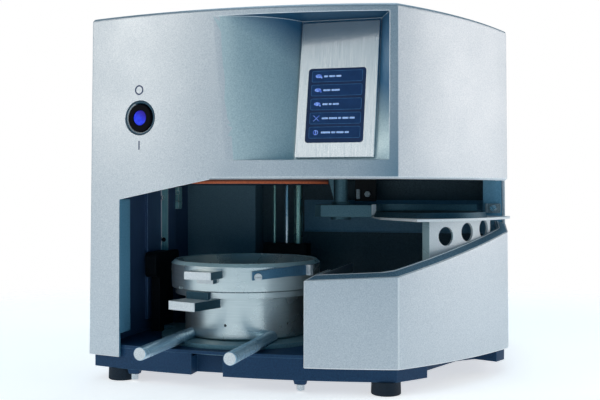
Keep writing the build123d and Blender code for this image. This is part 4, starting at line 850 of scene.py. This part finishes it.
# Printed power symbols above and below the switch, a ring and a stroke
symbols = {
    "x": -142.4 * mm,
    "ringZ": 285.8 * mm,
    "ringRadius": 4.8 * mm,
    "ringSteps": 40,
    "strokeZ": 232.1 * mm,
    "strokeHigh": 8.6 * mm,
    "strokeRound": 0.3 * mm,
    "line": 1.35 * mm,
    "inkLow": -0.05 * mm,  # starts inside the lacquer, so that no gap shows
    "inkTop": 0.06 * mm,
}


def frontFaceMatrix(x, z):
    # Plane that touches the curved front of the cover at a place
    radius = frontRadius(z)
    y = frontMiddle.y - math.sqrt(radius**2 - (x - frontMiddle.x) ** 2)
    steepness = math.tan(math.radians(front["draft"]))
    normal = Vector((x - frontMiddle.x, y - frontMiddle.y, radius * steepness)).normalized()
    right = Vector((-normal.y, normal.x, 0)).normalized()
    up = normal.cross(right)
    return Matrix.Translation((x, y, z)) @ Matrix((right, up, normal)).transposed().to_4x4()


ringSign = bmesh.new()
hollowSlab(
    ringSign, circleOutline(symbols["ringRadius"], symbols["ringSteps"]),
    circleOutline(symbols["ringRadius"] - symbols["line"], symbols["ringSteps"]),
    (0, 0), symbols["inkLow"], symbols["inkTop"],
)
ringPlace = frontFaceMatrix(symbols["x"], symbols["ringZ"])
meshPiece("offRing", ringSign, ringPlace, "navyInk", "housing")
strokeSign = bmesh.new()
slab(
    strokeSign, roundedOutline(symbols["line"], symbols["strokeHigh"], symbols["strokeRound"]),
    (0, 0), symbols["inkLow"], symbols["inkTop"],
)
strokePlace = frontFaceMatrix(symbols["x"], symbols["strokeZ"])
meshPiece("onStroke", strokeSign, strokePlace, "navyInk", "housing")
print("stage: power symbols")

# Folded sheet low on the rear wall, behind the parked arm, in mm
duct = {
    "left": -42.0, "right": 170.0, "rear": 99.6, "low": 139.0, "top": 177.0, "sheet": 1.0, "lip": 3.2,
    "finish": "bayBlueSheetAndPaintedShade",
}
ductFront = duct["rear"] - duct["sheet"]
lipFront = duct["rear"] - duct["lip"]
lipTop = duct["low"] + duct["sheet"]
ductOutline = (
    (duct["rear"], duct["top"]), (duct["rear"], duct["low"]), (lipFront, duct["low"]),
    (lipFront, lipTop), (ductFront, lipTop), (ductFront, duct["top"]),
)
ductSheet = bmesh.new()
ductEnds = [
    [ductSheet.verts.new((x * mm, y * mm, z * mm)) for y, z in ductOutline]
    for x in (duct["left"], duct["right"])
]
for face in (ductEnds[0], list(reversed(ductEnds[1]))):
    ductSheet.faces.new(face)
for i in range(len(ductOutline)):
    j = (i + 1) % len(ductOutline)
    ductSheet.faces.new((ductEnds[0][i], ductEnds[0][j], ductEnds[1][j], ductEnds[1][i]))
meshPiece("rearDuctSheet", ductSheet, Matrix.Identity(4), duct["finish"], "housing")
print("stage: duct sheet")

# Fasteners that repeat, placed by Geometry Nodes, in mm
fasteners = {
    "rearScrews": {
        "head": "pan", "facing": (0, 1, 0), "radius": 3.1, "finish": "nickelAndPaintedGlint", "slot": "chrome",
        "places": [(x, 208.0, z) for x in (-165.0, -10.0, 145.0) for z in (62.0, 299.0)],
    },
    "fanScrews": {
        "head": "pan", "facing": (0, 1, 0), "radius": 2.7, "finish": "nickelAndPaintedGlint", "slot": "chrome",
        "places": [(x, 208.0, z) for x in (64.3, 135.7) for z in (219.3, 290.7)],
    },
    "railBolts": {
        "head": "flush", "facing": (0, -1, 0), "radius": 2.5, "finish": "blackOxideSteel", "slot": "chrome",
        "places": [(-175.6, -12.0, z) for z in (57.0, 133.0)],
    },
}
# Heads of radius 1 about z: radius and height of the profile's corners, and the socket's floor
heads = {
    "pan": {"profile": ((1.0, -0.05), (1.0, 0.25), (0.85, 0.48), (0.6, 0.58)), "socketFloor": 0.2},
    "flush": {"profile": ((1.0, -0.02), (1.0, 0.05), (0.9, 0.06), (0.6, 0.06)), "socketFloor": 0.03},
}
socketReach = 0.42  # from the middle to a corner of the hexagon


def hexagonOutline(reach, steps):
    # Hexagon with a point at each of the circle's angles, so that both join without gaps
    sixth = math.pi / 3
    points = []
    for step in range(steps):
        angle = 2 * math.pi * step / steps
        side = reach * math.cos(sixth / 2) / math.cos(angle % sixth - sixth / 2)
        points.append((side * math.cos(angle), side * math.sin(angle)))
    return points


def headObject(kind, steps=24):
    # Screw head with a hexagon socket
    profile = heads[kind]["profile"]
    hexagon = hexagonOutline(socketReach, steps)
    outlines = [(circleOutline(radius, steps), height) for radius, height in profile]
    outlines += [(hexagon, profile[-1][1]), (hexagon, heads[kind]["socketFloor"])]
    mesh = bmesh.new()
    rings = [[mesh.verts.new((x, y, height)) for x, y in outline] for outline, height in outlines]
    for ring, nextRing in zip(rings, rings[1:]):
        for i in range(steps):
            j = (i + 1) % steps
            mesh.faces.new((ring[i], ring[j], nextRing[j], nextRing[i]))
    mesh.faces.new(rings[-1])
    mesh.faces.new(list(reversed(rings[0])))
    data = bpy.data.meshes.new(kind + "Head")
    mesh.to_mesh(data)
    mesh.free()
    return newObject(kind + "Head", data)


def fastenerGroup():
    # Puts a head on every point of a mesh; sockets holds each input's identifier by its name
    group = bpy.data.node_groups.new("placeFasteners", "GeometryNodeTree")
    sockets = {}
    for label, kind in (
        ("Places", "Geometry"), ("Head", "Object"), ("Facing", "Vector"),
        ("Radius", "Float"), ("Finish", "Material"),
    ):
        socket = group.interface.new_socket(label, in_out="INPUT", socket_type="NodeSocket" + kind)
        sockets[label] = socket.identifier
    group.interface.new_socket("Placed", in_out="OUTPUT", socket_type="NodeSocketGeometry")
    given = addNode(group, "NodeGroupInput")
    head = addNode(group, "GeometryNodeObjectInfo", links={"Object": given.outputs["Head"]})
    turned = addNode(
        group, "FunctionNodeAlignRotationToVector", settings={"axis": "Z"},
        links={"Vector": given.outputs["Facing"]},
    )
    placed = addNode(
        group, "GeometryNodeInstanceOnPoints",
        links={
            "Points": given.outputs["Places"], "Instance": head.outputs["Geometry"],
            "Rotation": turned.outputs["Rotation"], "Scale": given.outputs["Radius"],
        },
    )
    real = addNode(group, "GeometryNodeRealizeInstances", links={"Geometry": placed.outputs["Instances"]})
    dressed = addNode(
        group, "GeometryNodeSetMaterial",
        links={"Geometry": real.outputs["Geometry"], "Material": given.outputs["Finish"]},
    )
    addNode(group, "NodeGroupOutput", links={"Placed": dressed.outputs["Geometry"]})
    return group, sockets


headObjects = {kind: headObject(kind) for kind in heads}
fastenerNodes, fastenerSockets = fastenerGroup()
for name, spec in fasteners.items():
    pointMesh = bpy.data.meshes.new(name + "Places")
    pointMesh.from_pydata([tuple(side * mm for side in place) for place in spec["places"]], [], [])
    holder = newObject(name + "Places", pointMesh)
    modifier = holder.modifiers.new("placeFasteners", "NODES")
    modifier.node_group = fastenerNodes
    modifier[fastenerSockets["Head"]] = headObjects[spec["head"]]
    modifier[fastenerSockets["Facing"]] = spec["facing"]
    modifier[fastenerSockets["Radius"]] = spec["radius"] * mm
    modifier[fastenerSockets["Finish"]] = made[spec["finish"]]
    ready = holder.evaluated_get(bpy.context.evaluated_depsgraph_get())
    placedMesh = bpy.data.meshes.new_from_object(ready)
    bpy.data.objects.remove(holder)
    piece = newObject(name, placedMesh)
    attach(piece, "housing")
for head in headObjects.values():
    bpy.data.objects.remove(head)
print("stage: fasteners placed:", len(fasteners))
